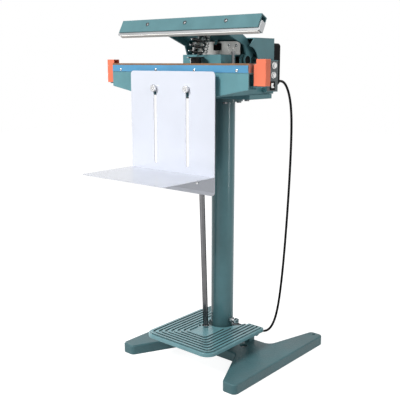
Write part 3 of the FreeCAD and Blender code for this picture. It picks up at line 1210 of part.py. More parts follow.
def power_rocker():
    """Rocker of the power switch on its pin, tilted to its off side."""
    half_y = ROCKER_WIDTH / 2 - ROCKER_PLAY
    half_depth = ROCKER_DEPTH / 2
    profile = [
        (-ROCKER_REACH, -half_depth),
        (ROCKER_REACH, -half_depth),
        (ROCKER_REACH, half_depth + ROCKER_RISE),
        (0, half_depth),
        (-ROCKER_REACH, half_depth + ROCKER_RISE),
    ]
    points = [V(ROCKER_PIVOT_X + out, ROCKER_Y - half_y, ROCKER_Z + along) for along, out in profile]
    rocker = Part.Face(Part.makePolygon(points + points[:1])).extrude(V(0, 2 * half_y, 0))
    rocker.rotate(V(ROCKER_PIVOT_X, ROCKER_Y, ROCKER_Z), Y_AXIS, -ROCKER_TILT)
    return fused([rocker, rocker_pin(0)])


def transformer():
    """Core of stacked sheets with the winding round its middle leg."""
    bottom = BODY_BOTTOM + BODY_WALL
    half = CORE_WIDTH / 2
    y0 = CORE_Y - CORE_DEPTH / 2
    core = box(CORE_X - half, CORE_X + half, y0, y0 + CORE_DEPTH, bottom, bottom + CORE_HEIGHT)
    window_low = bottom + CORE_LEG
    window_high = bottom + CORE_HEIGHT - CORE_LEG
    windows = []
    for x0 in (CORE_X - half + CORE_LEG, CORE_X + CORE_LEG):
        x1 = x0 + half - 2 * CORE_LEG
        windows.append(box(x0, x1, y0, y0 + CORE_DEPTH, window_low, window_high))
    nodes["transformer_core"] = core.cut(windows)
    reach = half - CORE_LEG - WINDING_FIT
    low = window_low + WINDING_FIT
    high = window_high - WINDING_FIT
    coil = box(CORE_X - reach, CORE_X + reach, y0 - WINDING_SIDE, y0 + CORE_DEPTH + WINDING_SIDE, low, high)
    leg = box(CORE_X - CORE_LEG, CORE_X + CORE_LEG, y0, y0 + CORE_DEPTH, low, high)
    nodes["transformer_winding"] = coil.cut(leg)


def work_table():
    """Slotted back plate, shelf, their screws, the spacer studs and the thumb knobs."""
    plate = front([
        (-TABLE_HALF_WIDTH, TABLE_BOTTOM, TABLE_CORNER),
        (TABLE_HALF_WIDTH, TABLE_BOTTOM, TABLE_CORNER),
        (TABLE_HALF_WIDTH, TABLE_TOP, TABLE_CORNER),
        (-TABLE_HALF_WIDTH, TABLE_TOP, TABLE_CORNER),
    ], TABLE_FACE, TABLE_BACK)
    half = SLOT_WIDTH / 2
    slots = []
    for x in (-SLOT_X, SLOT_X):
        slots.append(front([
            (x - half, SLOT_BOTTOM, SLOT_END_RADIUS),
            (x + half, SLOT_BOTTOM, SLOT_END_RADIUS),
            (x + half, SLOT_TOP, SLOT_END_RADIUS),
            (x - half, SLOT_TOP, SLOT_END_RADIUS),
        ], TABLE_FACE, TABLE_BACK))
    screw_z = SHELF_TOP - SHELF_FLANGE / 2
    heads = []
    for x in (-SHELF_SCREW_X, SHELF_SCREW_X):
        face = TABLE_FACE - TABLE_SHEET
        head = rod(SHELF_SCREW_RADIUS, (x, face - SHELF_SCREW_HEAD, screw_z), (x, face, screw_z))
        shank = rod(SHELF_SCREW_RADIUS / 2, (x, face, screw_z), (x, TABLE_BACK, screw_z))
        heads.append(fused([head, shank]))
    nodes["table_back_plate"] = plate.cut(slots + heads)
    shelf = plan([
        (-TABLE_HALF_WIDTH, TABLE_FACE - SHELF_DEPTH, SHELF_CORNER),
        (TABLE_HALF_WIDTH, TABLE_FACE - SHELF_DEPTH, SHELF_CORNER),
        (TABLE_HALF_WIDTH, TABLE_FACE, 0),
        (-TABLE_HALF_WIDTH, TABLE_FACE, 0),
    ], SHELF_TOP - TABLE_SHEET, SHELF_TOP)
    flange = box(-TABLE_HALF_WIDTH, TABLE_HALF_WIDTH, TABLE_FACE - TABLE_SHEET, TABLE_FACE,
                 SHELF_TOP - SHELF_FLANGE, SHELF_TOP)
    nodes["table_shelf"] = fused([shelf, flange]).cut(heads)
    nodes["shelf_screws"] = group(heads)
    studs = []
    for sign, name in ((-1, "thumb_knob_left"), (1, "thumb_knob_right")):
        x = sign * SLOT_X
        sleeve = rod(SPACER_RADIUS, (x, TABLE_BACK + SPACER_GAP, STUD_Z), (x, BEAM_FRONT, STUD_Z))
        stud = rod(STUD_RADIUS, (x, TABLE_FACE - STUD_REACH, STUD_Z), (x, BEAM_FRONT, STUD_Z))
        studs.append(fused([sleeve, stud]))
        nodes[name] = thumb_knob(x)
    nodes["table_spacers"] = group(studs)


def thumb_knob(x):
    """A knurled round nut on the table's stud."""
    back = TABLE_FACE - SPACER_GAP
    collar = rod(THUMB_COLLAR_RADIUS, (x, back - THUMB_COLLAR, STUD_Z), (x, back, STUD_Z))
    tip = back - THUMB_COLLAR - THUMB_HEIGHT
    grip = rod(THUMB_RADIUS, (x, tip, STUD_Z), (x, back - THUMB_COLLAR, STUD_Z))
    notches = []
    for i in range(THUMB_NOTCHES):
        angle = 2 * math.pi * i / THUMB_NOTCHES
        nx = x + THUMB_RADIUS * math.cos(angle)
        nz = STUD_Z + THUMB_RADIUS * math.sin(angle)
        notches.append(rod(THUMB_NOTCH_RADIUS, (nx, tip, nz), (nx, back, nz)))
    bore = rod(STUD_RADIUS + RUN_FIT, (x, TABLE_FACE - STUD_REACH, STUD_Z), (x, TABLE_FACE, STUD_Z))
    return fused([collar, grip]).cut(notches + [bore])


def strain_relief():
    """Tapered sleeve where the cord leaves the rear cover."""
    base = V(CORD_X, COVER_REAR, CORD_EXIT_Z)
    flange = Part.makeCylinder(RELIEF_FLANGE_RADIUS, RELIEF_FLANGE, base, Y_AXIS)
    sleeve = Part.makeCone(RELIEF_ROOT, RELIEF_TIP, RELIEF_LENGTH, base + Y_AXIS * RELIEF_FLANGE, Y_AXIS)
    return fused([flange, sleeve])


def cord_tube():
    """Free cord: straight runs joined by arcs as large as the runs allow, with the radii printed."""
    points = [V(*p) for p in CORD_ROUTE]
    edges = []
    radii = []
    here = points[0]
    for i in range(1, len(points) - 1):
        back = (points[i - 1] - points[i])
        ahead = (points[i + 1] - points[i])
        turn = math.pi - back.getAngle(ahead)
        trim = 0.45 * min(back.Length, ahead.Length)
        radius = trim / math.tan(turn / 2)
        radii.append(round(radius))
        start = points[i] + back.normalize() * trim
        finish = points[i] + ahead.normalize() * trim
        middle = (back + ahead).normalize()
        apex = points[i] + middle * (radius / math.cos(turn / 2) - radius)
        edges.append(Part.LineSegment(here, start).toShape())
        edges.append(Part.Arc(start, apex, finish).toShape())
        here = finish
    edges.append(Part.LineSegment(here, points[-1]).toShape())
    length = sum(edge.Length for edge in edges)
    tube = swept(edges, CORD_RADIUS)
    share = tube.Volume / (math.pi * CORD_RADIUS ** 2 * length)
    print("cord radii", radii, "length", round(length), "volume over section times length", round(share, 4))
    return tube


def coil_curve(u):
    """Centre line of the put-away coil after u turns: in on one layer, out on the next."""
    half = COIL_TURNS / 2
    radius = COIL_OUTER - COIL_STEP * (half - abs(u - half))
    climb = min(max(u - half + 0.25, 0), 0.5) / 0.5
    z = COIL_Z + COIL_RISE * (1 - math.cos(math.pi * climb)) / 2
    angle = math.pi / 2 + 2 * math.pi * u
    return V(COIL_X + radius * math.cos(angle), COIL_Y + radius * math.sin(angle), z)


def cord_coil():
    """Put-away coil as one wound tube with a straight lead at each end."""
    steps = int(4 * COIL_TURNS)
    edges = curve_edges(coil_curve, 0, COIL_TURNS, steps)
    first = coil_curve(0)
    last = coil_curve(COIL_TURNS)
    start = edges[0].tangentAt(edges[0].FirstParameter)
    finish = edges[-1].tangentAt(edges[-1].LastParameter)
    edges.insert(0, Part.LineSegment(first - start * COIL_LEAD, first).toShape())
    edges.append(Part.LineSegment(last, last + finish * COIL_LEAD).toShape())
    print("coil least gap", round(self_gap(coil_curve, 0, COIL_TURNS, CORD_RADIUS, 0.5), 2),
          "length", round(sum(edge.Length for edge in edges)))
    return swept(edges, CORD_RADIUS)


def cord_tie():
    """Band round the coil's turns, on the side towards the column."""
    inner_radius = COIL_OUTER - COIL_STEP * COIL_TURNS / 2 - CORD_RADIUS - TIE_FIT
    outer_radius = COIL_OUTER + CORD_RADIUS + TIE_FIT
    low = COIL_Z - CORD_RADIUS - TIE_FIT
    high = COIL_Z + COIL_RISE + CORD_RADIUS + TIE_FIT
    half = TIE_WIDTH / 2
    near = COIL_X + inner_radius
    far = COIL_X + outer_radius
    band = box(near - TIE_THICK, far + TIE_THICK, COIL_Y - half, COIL_Y + half,
               low - TIE_THICK, high + TIE_THICK)
    return band.cut(box(near, far, COIL_Y - half, COIL_Y + half, low, high))


def plug():
    """Round plug with a sleeve and two pins, lying on the floor at the coil's outer end."""
    end = coil_curve(COIL_TURNS)
    heading = (end - coil_curve(COIL_TURNS - 1e-4)).normalize()
    sleeve = rod(PLUG_SLEEVE_RADIUS, (0, 0, 0), (PLUG_SLEEVE, 0, 0))
    neck = Part.makeCone(PLUG_SLEEVE_RADIUS, PLUG_RADIUS, PLUG_TAPER, V(PLUG_SLEEVE, 0, 0), X_AXIS)
    face = PLUG_SLEEVE + PLUG_LENGTH
    body = rod(PLUG_RADIUS, (PLUG_SLEEVE + PLUG_TAPER, 0, 0), (face, 0, 0))
    flat = box(0, face, -PLUG_RADIUS, PLUG_RADIUS, -PLUG_RADIUS, PLUG_FLAT)
    tip = face + PIN_LENGTH
    pins = [rod(PIN_RADIUS, (face, y, 0), (tip, y, 0)) for y in (-PIN_SPACING / 2, PIN_SPACING / 2)]
    shape = fused([fused([sleeve, neck, body]).common(flat)] + pins)
    shape.rotate(V(0, 0, 0), Z_AXIS, math.degrees(math.atan2(heading.y, heading.x)))
    shape.translate(end + heading * COIL_LEAD)
    return shape


def build():
    """Make every piece and put it under its own name."""
    nodes["base_casting"] = base_casting()
    flange_bolts = column_pieces()
    head_bolts = head_plate(flange_bolts)
    nodes["pedal_plate"] = pedal_plate()
    pedal_bearings()
    nodes["pull_rod"] = pull_rod()
    rod_yoke()
    nodes["body_tray"] = body_tray(head_bolts, flange_bolts)
    nodes["deck_plate"] = deck_plate()
    screws = sealing_bar()
    cap = end_cap()
    nodes["end_caps"] = group([cap, mirrored(cap)])
    end_terminals()
    jaw_channel()
    jaw_arm()
    jaw_pivot()
    springs()
    deck_pieces()
    nodes["rear_housing"] = rear_housing()
    screws += rear_cover()
    screws += switch_plate()
    nodes["head_screws"] = group(screws)
    controls()
    transformer()
    work_table()
    nodes["strain_relief"] = strain_relief()
    nodes["cord_free"] = cord_tube()
    nodes["cord_coil"] = cord_coil()
    nodes["cord_tie"] = cord_tie()
    nodes["plug"] = plug()


build()
os.makedirs("parts", exist_ok=True)
for name, shape in nodes.items():
    shape.exportStep("parts/" + name + ".step")
print(len(nodes), "pieces")
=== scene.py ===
import math

import bmesh
import bpy
from mathutils import Euler, Matrix, Quaternion, Vector


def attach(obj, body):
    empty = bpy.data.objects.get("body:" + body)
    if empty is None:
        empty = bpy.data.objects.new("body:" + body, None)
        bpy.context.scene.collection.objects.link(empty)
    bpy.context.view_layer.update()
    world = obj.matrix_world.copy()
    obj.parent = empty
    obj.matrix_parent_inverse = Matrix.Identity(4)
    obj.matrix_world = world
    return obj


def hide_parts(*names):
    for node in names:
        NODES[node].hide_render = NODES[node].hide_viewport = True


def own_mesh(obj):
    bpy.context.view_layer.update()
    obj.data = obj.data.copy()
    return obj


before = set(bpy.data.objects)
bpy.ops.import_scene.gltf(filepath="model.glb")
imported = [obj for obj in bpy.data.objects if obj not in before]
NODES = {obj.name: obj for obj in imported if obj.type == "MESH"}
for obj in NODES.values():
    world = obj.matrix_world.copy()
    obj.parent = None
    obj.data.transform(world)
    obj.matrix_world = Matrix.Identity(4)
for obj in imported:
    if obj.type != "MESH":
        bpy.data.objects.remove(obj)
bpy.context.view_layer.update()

bl_info = {
    "name": "Foot pedal heat sealer",
    "version": (1, 0, 0),
    "blender": (4, 5, 0),
    "location": "View3D > Sidebar > Sealer",
    "description": "Dresses the packed heat sealer: paint, metals, springs, screws, marks and cord",
    "category": "Object",
}

# Route of the free cord from the strain relief to the coil, in metres
CORD_ROUTE = [
    (0.1040, 0.1160, 0.7890),
    (0.1040, 0.1300, 0.7890),
    (0.1040, 0.1439, 0.7834),
    (0.1040, 0.1560, 0.7723),
    (0.1041, 0.1665, 0.7560),
    (0.1043, 0.1750, 0.7350),
    (0.1046, 0.1810, 0.7080),
    (0.1048, 0.1850, 0.6720),
    (0.1042, 0.1870, 0.6100),
    (0.1026, 0.1866, 0.5250),
    (0.1002, 0.1854, 0.4400),
    (0.0968, 0.1836, 0.3500),
    (0.0926, 0.1814, 0.2600),
    (0.0870, 0.1788, 0.1750),
    (0.0790, 0.1767, 0.1000),
    (0.0660, 0.1750, 0.0450),
    (0.0440, 0.1742, 0.0120),
    (0.0120, 0.1739, 0.0042),
    (-0.0340, 0.1734, 0.0048),
    (-0.0780, 0.1722, 0.0048),
]

# Coil at the cord's end: centre on the floor, outer radius, step from turn to turn, number of turns, height
# of the lower turns, rise to the upper turns, turns over which it climbs, and the straight end at the plug
COIL_CENTRE = (-0.085, 0.126)
COIL_OUTER = 0.046
COIL_STEP = 0.008
COIL_TURNS = 3.5
COIL_FLOOR = 0.0048
COIL_RISE = 0.0078
COIL_CLIMB = 0.5
COIL_LEAD = 0.007
COIL_POINTS_PER_TURN = 16

# Part of a turn over which the coil's heading is taken at its end
COIL_LAST_BIT = 1e-4

# Jaw pivot and the angle by which the jaw stands open
PIVOT = Vector((0.0, -0.030, 0.846))
JAW_OPEN = math.radians(28.0)

# Camera: place, turn to the left, dip below level, and its lens and sensor in millimetres
CAMERA_PLACE = (1.1851, -1.4745, 0.8418)
CAMERA_TURN = math.radians(40.781)
CAMERA_DIP = math.radians(11.595)
CAMERA_LENS = 60.632
CAMERA_SENSOR = 36.0

# Lamps: name, place, power in watts, width, and height where it isn't square; all of them face LAMP_AIM
LAMPS = [
    ("key_lamp", (-0.4, -2.6, 2.6), 88.0, 0.9, None),
    ("fill_lamp", (2.4, -1.0, 1.5), 8.0, 1.2, None),
    ("rim_lamp", (-2.0, 0.5, 0.9), 13.0, 0.5, None),
    ("strip_lamp", (1.6, 0.25, 0.44), 4.0, 0.06, 0.5),
    ("bounce_lamp", (-0.35, -0.85, 0.12), 1.5, 0.9, None),
]
LAMP_AIM = Vector((0, 0, 0.5))

# Floor: half its width, its grey, its glow as it is seen, and how near pieces over it are looked for, with
# the open share below which they take the glow away
FLOOR_HALF = 6.0
FLOOR_GREY = (0.35, 0.35, 0.35, 1.0)
FLOOR_GLOW = 0.90
FLOOR_COVER_REACH = 0.06
FLOOR_OPEN_SHARE = 0.35

# White surroundings: their strength as light and as they are seen
WHITE = (1.0, 1.0, 1.0, 1.0)
AMBIENT_LIGHT = 0.30
AMBIENT_SEEN = 1.0

# Lowest roughness that a finish varies down to
SMOOTHEST = 0.02

# Springs: centre of the first and the last turn, mean radius, number of turns, the point that stays when the
# jaw closes, and the share of the height that is left then
MAIN_SPRING = {
    "foot": (0.016, -0.136, 0.86015), "head": (0.016, -0.110, 0.9330), "mean": 0.0185, "turns": 5,
    "anchor": (0.016, -0.136, 0.854), "keep": 0.40,
}
SECOND_SPRING = {
    "foot": (0.009, -0.0938, 0.86215), "head": (0.009, -0.078, 0.9174), "mean": 0.007, "turns": 8,
    "anchor": (0.009, -0.0938, 0.860), "keep": 0.42,
}
SPRING_POINTS_PER_TURN = 48
SPRING_WIRE_SIDES = 14

# Rows of screws: x of each, y and z under their heads, spin of the first, and spin from one to the next
STRIP_SCREWS = {"xs": (-0.199, -0.0665, 0.0665, 0.199), "y": -0.1996, "z": 0.8215, "spin": 0.0, "step": 0.4}
SWITCH_PLATE_SCREWS = {"xs": (-0.070, 0.046, 0.070), "y": -0.036, "z": 0.884, "spin": 0.3, "step": 0.5}
LOW_COVER_SCREWS = {"xs": (-0.106, 0.106), "y": 0.096, "z": 0.807, "spin": 0.0, "step": 0.7}
HIGH_COVER_SCREWS = {**LOW_COVER_SCREWS, "z": 0.877, "spin": 0.3}
SHELF_SCREWS = {"xs": (-0.090, 0.090), "y": -0.2156, "z": 0.5436, "spin": 0.21, "step": 0.18}
JAW_SCREWS = {"xs": (-0.134, 0.0, 0.134), "spin": 0.5, "step": 1.0}

# Point of the jaw's face under its screws while the jaw is closed
JAW_FACE_CLOSED = Vector((0, -0.1885, 0.86735))

# Screw heads: their heights, and the radii that aren't in the sidebar
HEAD_SCREW_HEIGHT = 0.0021
JAW_SCREW_RADIUS = 0.0052
JAW_SCREW_HEIGHT = 0.0025
SHELF_SCREW_RADIUS = 0.0040
SHELF_SCREW_HEIGHT = 0.0022

# Pan head: rings as shares of radius and height, sides, and the cross recess as shares of radius and height
PAN_RINGS = [(1.0, 0.0), (1.0, 0.45), (0.94, 0.68), (0.80, 0.86), (0.58, 0.96)]
PAN_SIDES = 24
RECESS_ARMS = 4
RECESS_HALF_WIDTH = 0.11
RECESS_LENGTH = 0.5
RECESS_TAPER = 0.85
RECESS_FLOOR = 0.45

# Dial marks: y and z of each timer knob's centre, x of the panel's face, the ticks' first angle, step and
# number, the radius at which they start, their width and their thickness
KNOB_CENTRES = ((0.034, 0.832), (0.031, 0.807))
PANEL_FACE = 0.14105
TICK_FIRST = math.radians(-135)
TICK_STEP = math.radians(27)
TICK_COUNT = 11
TICK_START = 0.0098
TICK_WIDTH = 0.0005
TICK_THICKNESS = 0.00012


class SealerColours(bpy.types.PropertyGroup):
    """Colours that a user would change."""

    paint: bpy.props.FloatVectorProperty(
        name="Paint", description="Green paint of the stand and the head",
        subtype="COLOR", size=3, min=0, max=1, default=(0.115, 0.270, 0.300))
    paint_worn: bpy.props.FloatVectorProperty(
        name="Worn paint", description="Paler paint where edges are rubbed",
        subtype="COLOR", size=3, min=0, max=1, default=(0.24, 0.42, 0.45))
    table: bpy.props.FloatVectorProperty(
        name="Table", description="White enamel of the work table",
        subtype="COLOR", size=3, min=0, max=1, default=(0.72, 0.75, 0.83))
    strip: bpy.props.FloatVectorProperty(
        name="Clamp strip", description="Blue anodised strip along the sealing bar",
        subtype="COLOR", size=3, min=0, max=1, default=(0.10, 0.34, 0.57))
    caps: bpy.props.FloatVectorProperty(
        name="End caps", description="Orange moulded caps at the ends of the sealing bar",
        subtype="COLOR", size=3, min=0, max=1, default=(0.920, 0.228, 0.128))
    cloth: bpy.props.FloatVectorProperty(
        name="Cover cloth", description="Brown non-stick cloth over the heating ribbon",
        subtype="COLOR", size=3, min=0, max=1, default=(0.26, 0.13, 0.06))


class SealerSizes(bpy.types.PropertyGroup):
    """Sizes that a user would change."""

    cord_diameter: bpy.props.FloatProperty(
        name="Cord diameter", description="Thickness of the mains cord",
        unit="LENGTH", min=0.004, max=0.012, default=0.007)
    main_wire: bpy.props.FloatProperty(
        name="Main spring wire", description="Thickness of the black spring's wire",
        unit="LENGTH", min=0.002, max=0.008, default=0.005)
    second_wire: bpy.props.FloatProperty(
        name="Second spring wire", description="Thickness of the bright spring's wire",
        unit="LENGTH", min=0.001, max=0.004, default=0.0025)
    screw_radius: bpy.props.FloatProperty(
        name="Screw head radius", description="Radius of the head's pan-head screws",
        unit="LENGTH", min=0.002, max=0.006, default=0.0037)
    tick_length: bpy.props.FloatProperty(
        name="Dial tick", description="Length of the marks round a timer knob",
        unit="LENGTH", min=0.0005, max=0.004, default=0.0022)


def colours():
    """Colours as they are set in the scene."""
    return bpy.context.scene.sealer_colours


def sizes():
    """Sizes as they are set in the scene."""
    return bpy.context.scene.sealer_sizes


# Node helpers

def feed(tree, value, socket):
    """Links a socket to another one, or sets it to a plain value."""
    if isinstance(value, bpy.types.NodeSocket):
        tree.links.new(value, socket)
    else:
        socket.default_value = value


def joined(tree, operation, first, second, clamp=False):
    """The result of one Math node."""
    node = tree.nodes.new("ShaderNodeMath")
    node.operation = operation
    node.use_clamp = clamp
    feed(tree, first, node.inputs[0])
    feed(tree, second, node.inputs[1])
    return node.outputs["Value"]


def stretched(tree, value, zero_at, one_at):
    """The value mapped to run from 0 to 1 between two limits."""
    node = tree.nodes.new("ShaderNodeMapRange")
    node.inputs["From Min"].default_value = zero_at
    node.inputs["From Max"].default_value = one_at
    tree.links.new(value, node.inputs["Value"])
    return node.outputs["Result"]


def between(tree, value, low, high):
    """The value, which runs from 0 to 1, mapped to run between two limits."""
    node = tree.nodes.new("ShaderNodeMapRange")
    node.inputs["To Min"].default_value = low
    node.inputs["To Max"].default_value = high
    tree.links.new(value, node.inputs["Value"])
    return node.outputs["Result"]


def laid_over(tree, mask, under, over):
    """One tone over another by a mask; each may be a colour or a socket."""
    node = tree.nodes.new("ShaderNodeMix")
    node.data_type = "RGBA"
    tree.links.new(mask, node.inputs["Factor"])
    feed(tree, under, node.inputs["A"])
    feed(tree, over, node.inputs["B"])
    return node.outputs["Result"]


def noise_on(tree, place, scale, detail):
    """Noise at a place, with its scale taken from a socket."""
    node = tree.nodes.new("ShaderNodeTexNoise")
    node.inputs["Detail"].default_value = detail
    tree.links.new(place, node.inputs["Vector"])
    tree.links.new(scale, node.inputs["Scale"])
    return node.outputs["Fac"]


# Shader groups

def new_group(name, inputs, outputs):
    """An empty shader group with named sockets; returns the group and its two end nodes."""
    group = bpy.data.node_groups.new(name, "ShaderNodeTree")
    for socket, kind, default in inputs:
        made = group.interface.new_socket(socket, in_out="INPUT", socket_type=kind)
        made.default_value = default
    for socket, kind in outputs:
        group.interface.new_socket(socket, in_out="OUTPUT", socket_type=kind)
    return group, group.nodes.new("NodeGroupInput"), group.nodes.new("NodeGroupOutput")


def edge_wear_and_rim_group():
    """Mask along sharp edges, broken up by noise, and the softened normal there; it lays wear, and on the
    polished knobs a painted dark reflection.
    """
    if "edge_wear" in bpy.data.node_groups:
        return bpy.data.node_groups["edge_wear"]
    group, ins, outs = new_group(
        "edge_wear",
        [("Radius", "NodeSocketFloat", 0.002), ("Amount", "NodeSocketFloat", 1.0),
         ("Break", "NodeSocketFloat", 90.0)],
        [("Mask", "NodeSocketFloat"), ("Normal", "NodeSocketVector")])
    nodes, links = group.nodes, group.links
    bevel = nodes.new("ShaderNodeBevel")
    bevel.samples = 4
    links.new(ins.outputs["Radius"], bevel.inputs["Radius"])
    shape = nodes.new("ShaderNodeNewGeometry")
    bend = nodes.new("ShaderNodeVectorMath")
    bend.operation = "DOT_PRODUCT"
    links.new(bevel.outputs["Normal"], bend.inputs[0])
    links.new(shape.outputs["Normal"], bend.inputs[1])
    edge = stretched(group, bend.outputs["Value"], zero_at=0.995, one_at=0.80)
    place = nodes.new("ShaderNodeTexCoord")
    noise = noise_on(group, place.outputs["Object"], ins.outputs["Break"], detail=4.0)
    patches = stretched(group, noise, zero_at=0.42, one_at=0.62)
    rubbed = joined(group, "MULTIPLY", edge, patches)
    mask = joined(group, "MULTIPLY", rubbed, ins.outputs["Amount"], clamp=True)
    links.new(mask, outs.inputs["Mask"])
    links.new(bevel.outputs["Normal"], outs.inputs["Normal"])
    return group


def fine_grain_group():
    """Two scales of noise: a slow tone and a fine grain, both from 0 to 1."""
    if "fine_grain" in bpy.data.node_groups:
        return bpy.data.node_groups["fine_grain"]
    group, ins, outs = new_group(
        "fine_grain",
        [("Grain Scale", "NodeSocketFloat", 900.0), ("Tone Scale", "NodeSocketFloat", 14.0)],
        [("Grain", "NodeSocketFloat"), ("Tone", "NodeSocketFloat")])
    place = group.nodes.new("ShaderNodeTexCoord")
    for socket, detail in (("Grain", 2.0), ("Tone", 5.0)):
        noise = noise_on(group, place.outputs["Object"], ins.outputs[socket + " Scale"], detail)
        group.links.new(stretched(group, noise, zero_at=0.3, one_at=0.7), outs.inputs[socket])
    return group


def brushed_lines_group():
    """Long fine lines along one axis, for rolled and drawn metal."""
    if "brushed_lines" in bpy.data.node_groups:
        return bpy.data.node_groups["brushed_lines"]
    group, ins, outs = new_group(
        "brushed_lines",
        [("Stretch", "NodeSocketVector", (4.0, 400.0, 400.0)), ("Scale", "NodeSocketFloat", 3.0)],
        [("Lines", "NodeSocketFloat")])
    nodes, links = group.nodes, group.links
    place = nodes.new("ShaderNodeTexCoord")
    stretch = nodes.new("ShaderNodeVectorMath")
    stretch.operation = "MULTIPLY"
    links.new(place.outputs["Object"], stretch.inputs[0])
    links.new(ins.outputs["Stretch"], stretch.inputs[1])
    noise = noise_on(group, stretch.outputs["Vector"], ins.outputs["Scale"], detail=3.0)
    links.new(noise, outs.inputs["Lines"])
    return group


def cavity_shade_group():
    """Mask that is 1 where other faces stand close, within its reach, and 0 on open faces; it lays painted
    shade into hollows and under overhanging parts.
    """
    if "cavity" in bpy.data.node_groups:
        return bpy.data.node_groups["cavity"]
    group, ins, outs = new_group("cavity", [("Reach", "NodeSocketFloat", 0.008)],
                                 [("Mask", "NodeSocketFloat")])
    cover = group.nodes.new("ShaderNodeAmbientOcclusion")
    cover.samples = 8
    group.links.new(ins.outputs["Reach"], cover.inputs["Distance"])
    mask = stretched(group, cover.outputs["AO"], zero_at=0.92, one_at=0.50)
    group.links.new(mask, outs.inputs["Mask"])
    return group


# Finishes

def toned(colour, share):
    """A colour made darker, or paler by a share over 1, with full alpha."""
    return tuple(c * share for c in colour[:3]) + (1.0,)


def add_group(tree, group, **values):
    """Places a shader group with its own values; a name's underscores stand for spaces."""
    node = tree.nodes.new("ShaderNodeGroup")
    node.node_tree = group
    for name, value in values.items():
        node.inputs[name.replace("_", " ")].default_value = value
    return node


def finish_material(name, colour, roughness, spread=0.08, tone=0.12, metallic=0.0, grain=900.0,
                    tones=14.0, bump=0.05, depth=0.0004, wear_and_dark_rim=None, wear_amount=0.6, edge=0.0012,
                    coat=0.0, coat_roughness=0.1, lines=None, specular=0.5, glancing=None, cavity=0.0,
                    deepest_shade=0.16):
    """A finish whose tone, roughness and bump vary over the surface.

    It may have a worn edge, brushed lines, painted shade in cavities, and a metal's tint at a glancing
    angle; on the polished knobs the worn edge is a painted dark reflection.
    """
    made = bpy.data.materials.get(name)
    if made:
        return made
    made = bpy.data.materials.new(name)
    made.use_nodes = True
    tree = made.node_tree
    nodes, links = tree.nodes, tree.links
    skin = nodes["Principled BSDF"]
    skin.inputs["Metallic"].default_value = metallic
    skin.inputs["Coat Weight"].default_value = coat
    skin.inputs["Coat Roughness"].default_value = coat_roughness
    skin.inputs["Specular IOR Level"].default_value = specular
    if glancing:
        skin.inputs["Specular Tint"].default_value = toned(glancing, share=1.0)
    noise = add_group(tree, fine_grain_group(), Grain_Scale=grain, Tone_Scale=tones)
    edges = add_group(tree, edge_wear_and_rim_group(), Radius=edge, Amount=wear_amount)
    shade = laid_over(tree, noise.outputs["Tone"], toned(colour, 1 - tone), toned(colour, 1 + tone / 2))
    if wear_and_dark_rim:
        shade = laid_over(tree, edges.outputs["Mask"], shade, toned(wear_and_dark_rim, share=1.0))
    # Painted shade: the cavity mask darkens the colour where other faces stand close
    if cavity:
        shade_in_hollows = add_group(tree, cavity_shade_group(), Reach=cavity)
        shade = laid_over(tree, shade_in_hollows.outputs["Mask"], shade, toned(colour, deepest_shade))
    links.new(shade, skin.inputs["Base Color"])
    height = noise.outputs["Grain"]
    source = noise.outputs["Tone"]
    if lines:
        brushed = add_group(tree, brushed_lines_group(), Stretch=lines)
        height = brushed.outputs["Lines"]
        source = height
    rough = between(tree, source, max(SMOOTHEST, roughness - spread), min(1.0, roughness + spread))
    links.new(rough, skin.inputs["Roughness"])
    relief = nodes.new("ShaderNodeBump")
    relief.inputs["Strength"].default_value = bump
    relief.inputs["Distance"].default_value = depth
    links.new(height, relief.inputs["Height"])
    links.new(edges.outputs["Normal"], relief.inputs["Normal"])
    links.new(relief.outputs["Normal"], skin.inputs["Normal"])
    return made


# A share below 1 gives a copy of the paint with painted shade, a share over 1 a copy with painted light
def paint(name="green_machine_paint", share=1.0):
    c = colours()
    return finish_material(name, toned(c.paint, share), roughness=0.36, spread=0.06, tone=0.10, grain=420.0,
                           tones=22.0, bump=0.22, depth=0.0006, wear_and_dark_rim=c.paint_worn, wear_amount=0.35,
                           edge=0.0016, coat=0.08, coat_roughness=0.18, specular=0.3)


# Painted shade: a darker copy of the green paint, with cavity shade of long reach that darkens the column
# under the head and the table
def shaded_column_paint():
    c = colours()
    return finish_material("green_paint_on_column", toned(c.paint, share=0.86), roughness=0.34, spread=0.05,
                           tone=0.10, grain=420.0, tones=22.0, bump=0.12, depth=0.0006, wear_and_dark_rim=c.paint_worn,
                           wear_amount=0.35, edge=0.0016, coat=0.28, coat_roughness=0.12, specular=0.2,
                           cavity=0.22, deepest_shade=0.42)


# Painted shade: a darker copy of the green paint for the base casting and the pedal bearing blocks
def shaded_cast_paint():
    c = colours()
    return finish_material("green_paint_on_casting", toned(c.paint, share=0.57), roughness=0.40,
                           spread=0.08, tone=0.16, grain=260.0, tones=16.0, bump=0.35, depth=0.0009,
                           wear_and_dark_rim=c.paint_worn, wear_amount=0.5, edge=0.003, coat=0.10, coat_roughness=0.22,
                           specular=0.3)


# Painted light and shade: a paler copy of the green paint for the lit tread, with cavity shade in the
# grooves between the ribs
def lit_pedal_paint():
    c = colours()
    return finish_material("green_paint_on_pedal", toned(c.paint, share=1.15), roughness=0.32, spread=0.08,
                           tone=0.16, grain=260.0, tones=30.0, bump=0.30, depth=0.0008, wear_and_dark_rim=c.paint_worn,
                           wear_amount=0.8, edge=0.0016, coat=0.55, coat_roughness=0.18, specular=0.4,
                           cavity=0.009)


def chrome():
    return finish_material("bright_chrome", (0.62, 0.63, 0.64), roughness=0.14, spread=0.05, tone=0.12,
                           metallic=1.0, grain=1500.0, tones=90.0, bump=0.02, depth=0.0001, edge=0.0008,
                           glancing=(0.05, 0.052, 0.055))


def dull_steel():
    return finish_material("dull_screw_steel", (0.16, 0.165, 0.17), roughness=0.34, metallic=1.0, tone=0.2,
                           bump=0.05, depth=0.0002, edge=0.0006, glancing=(0.03, 0.03, 0.03))


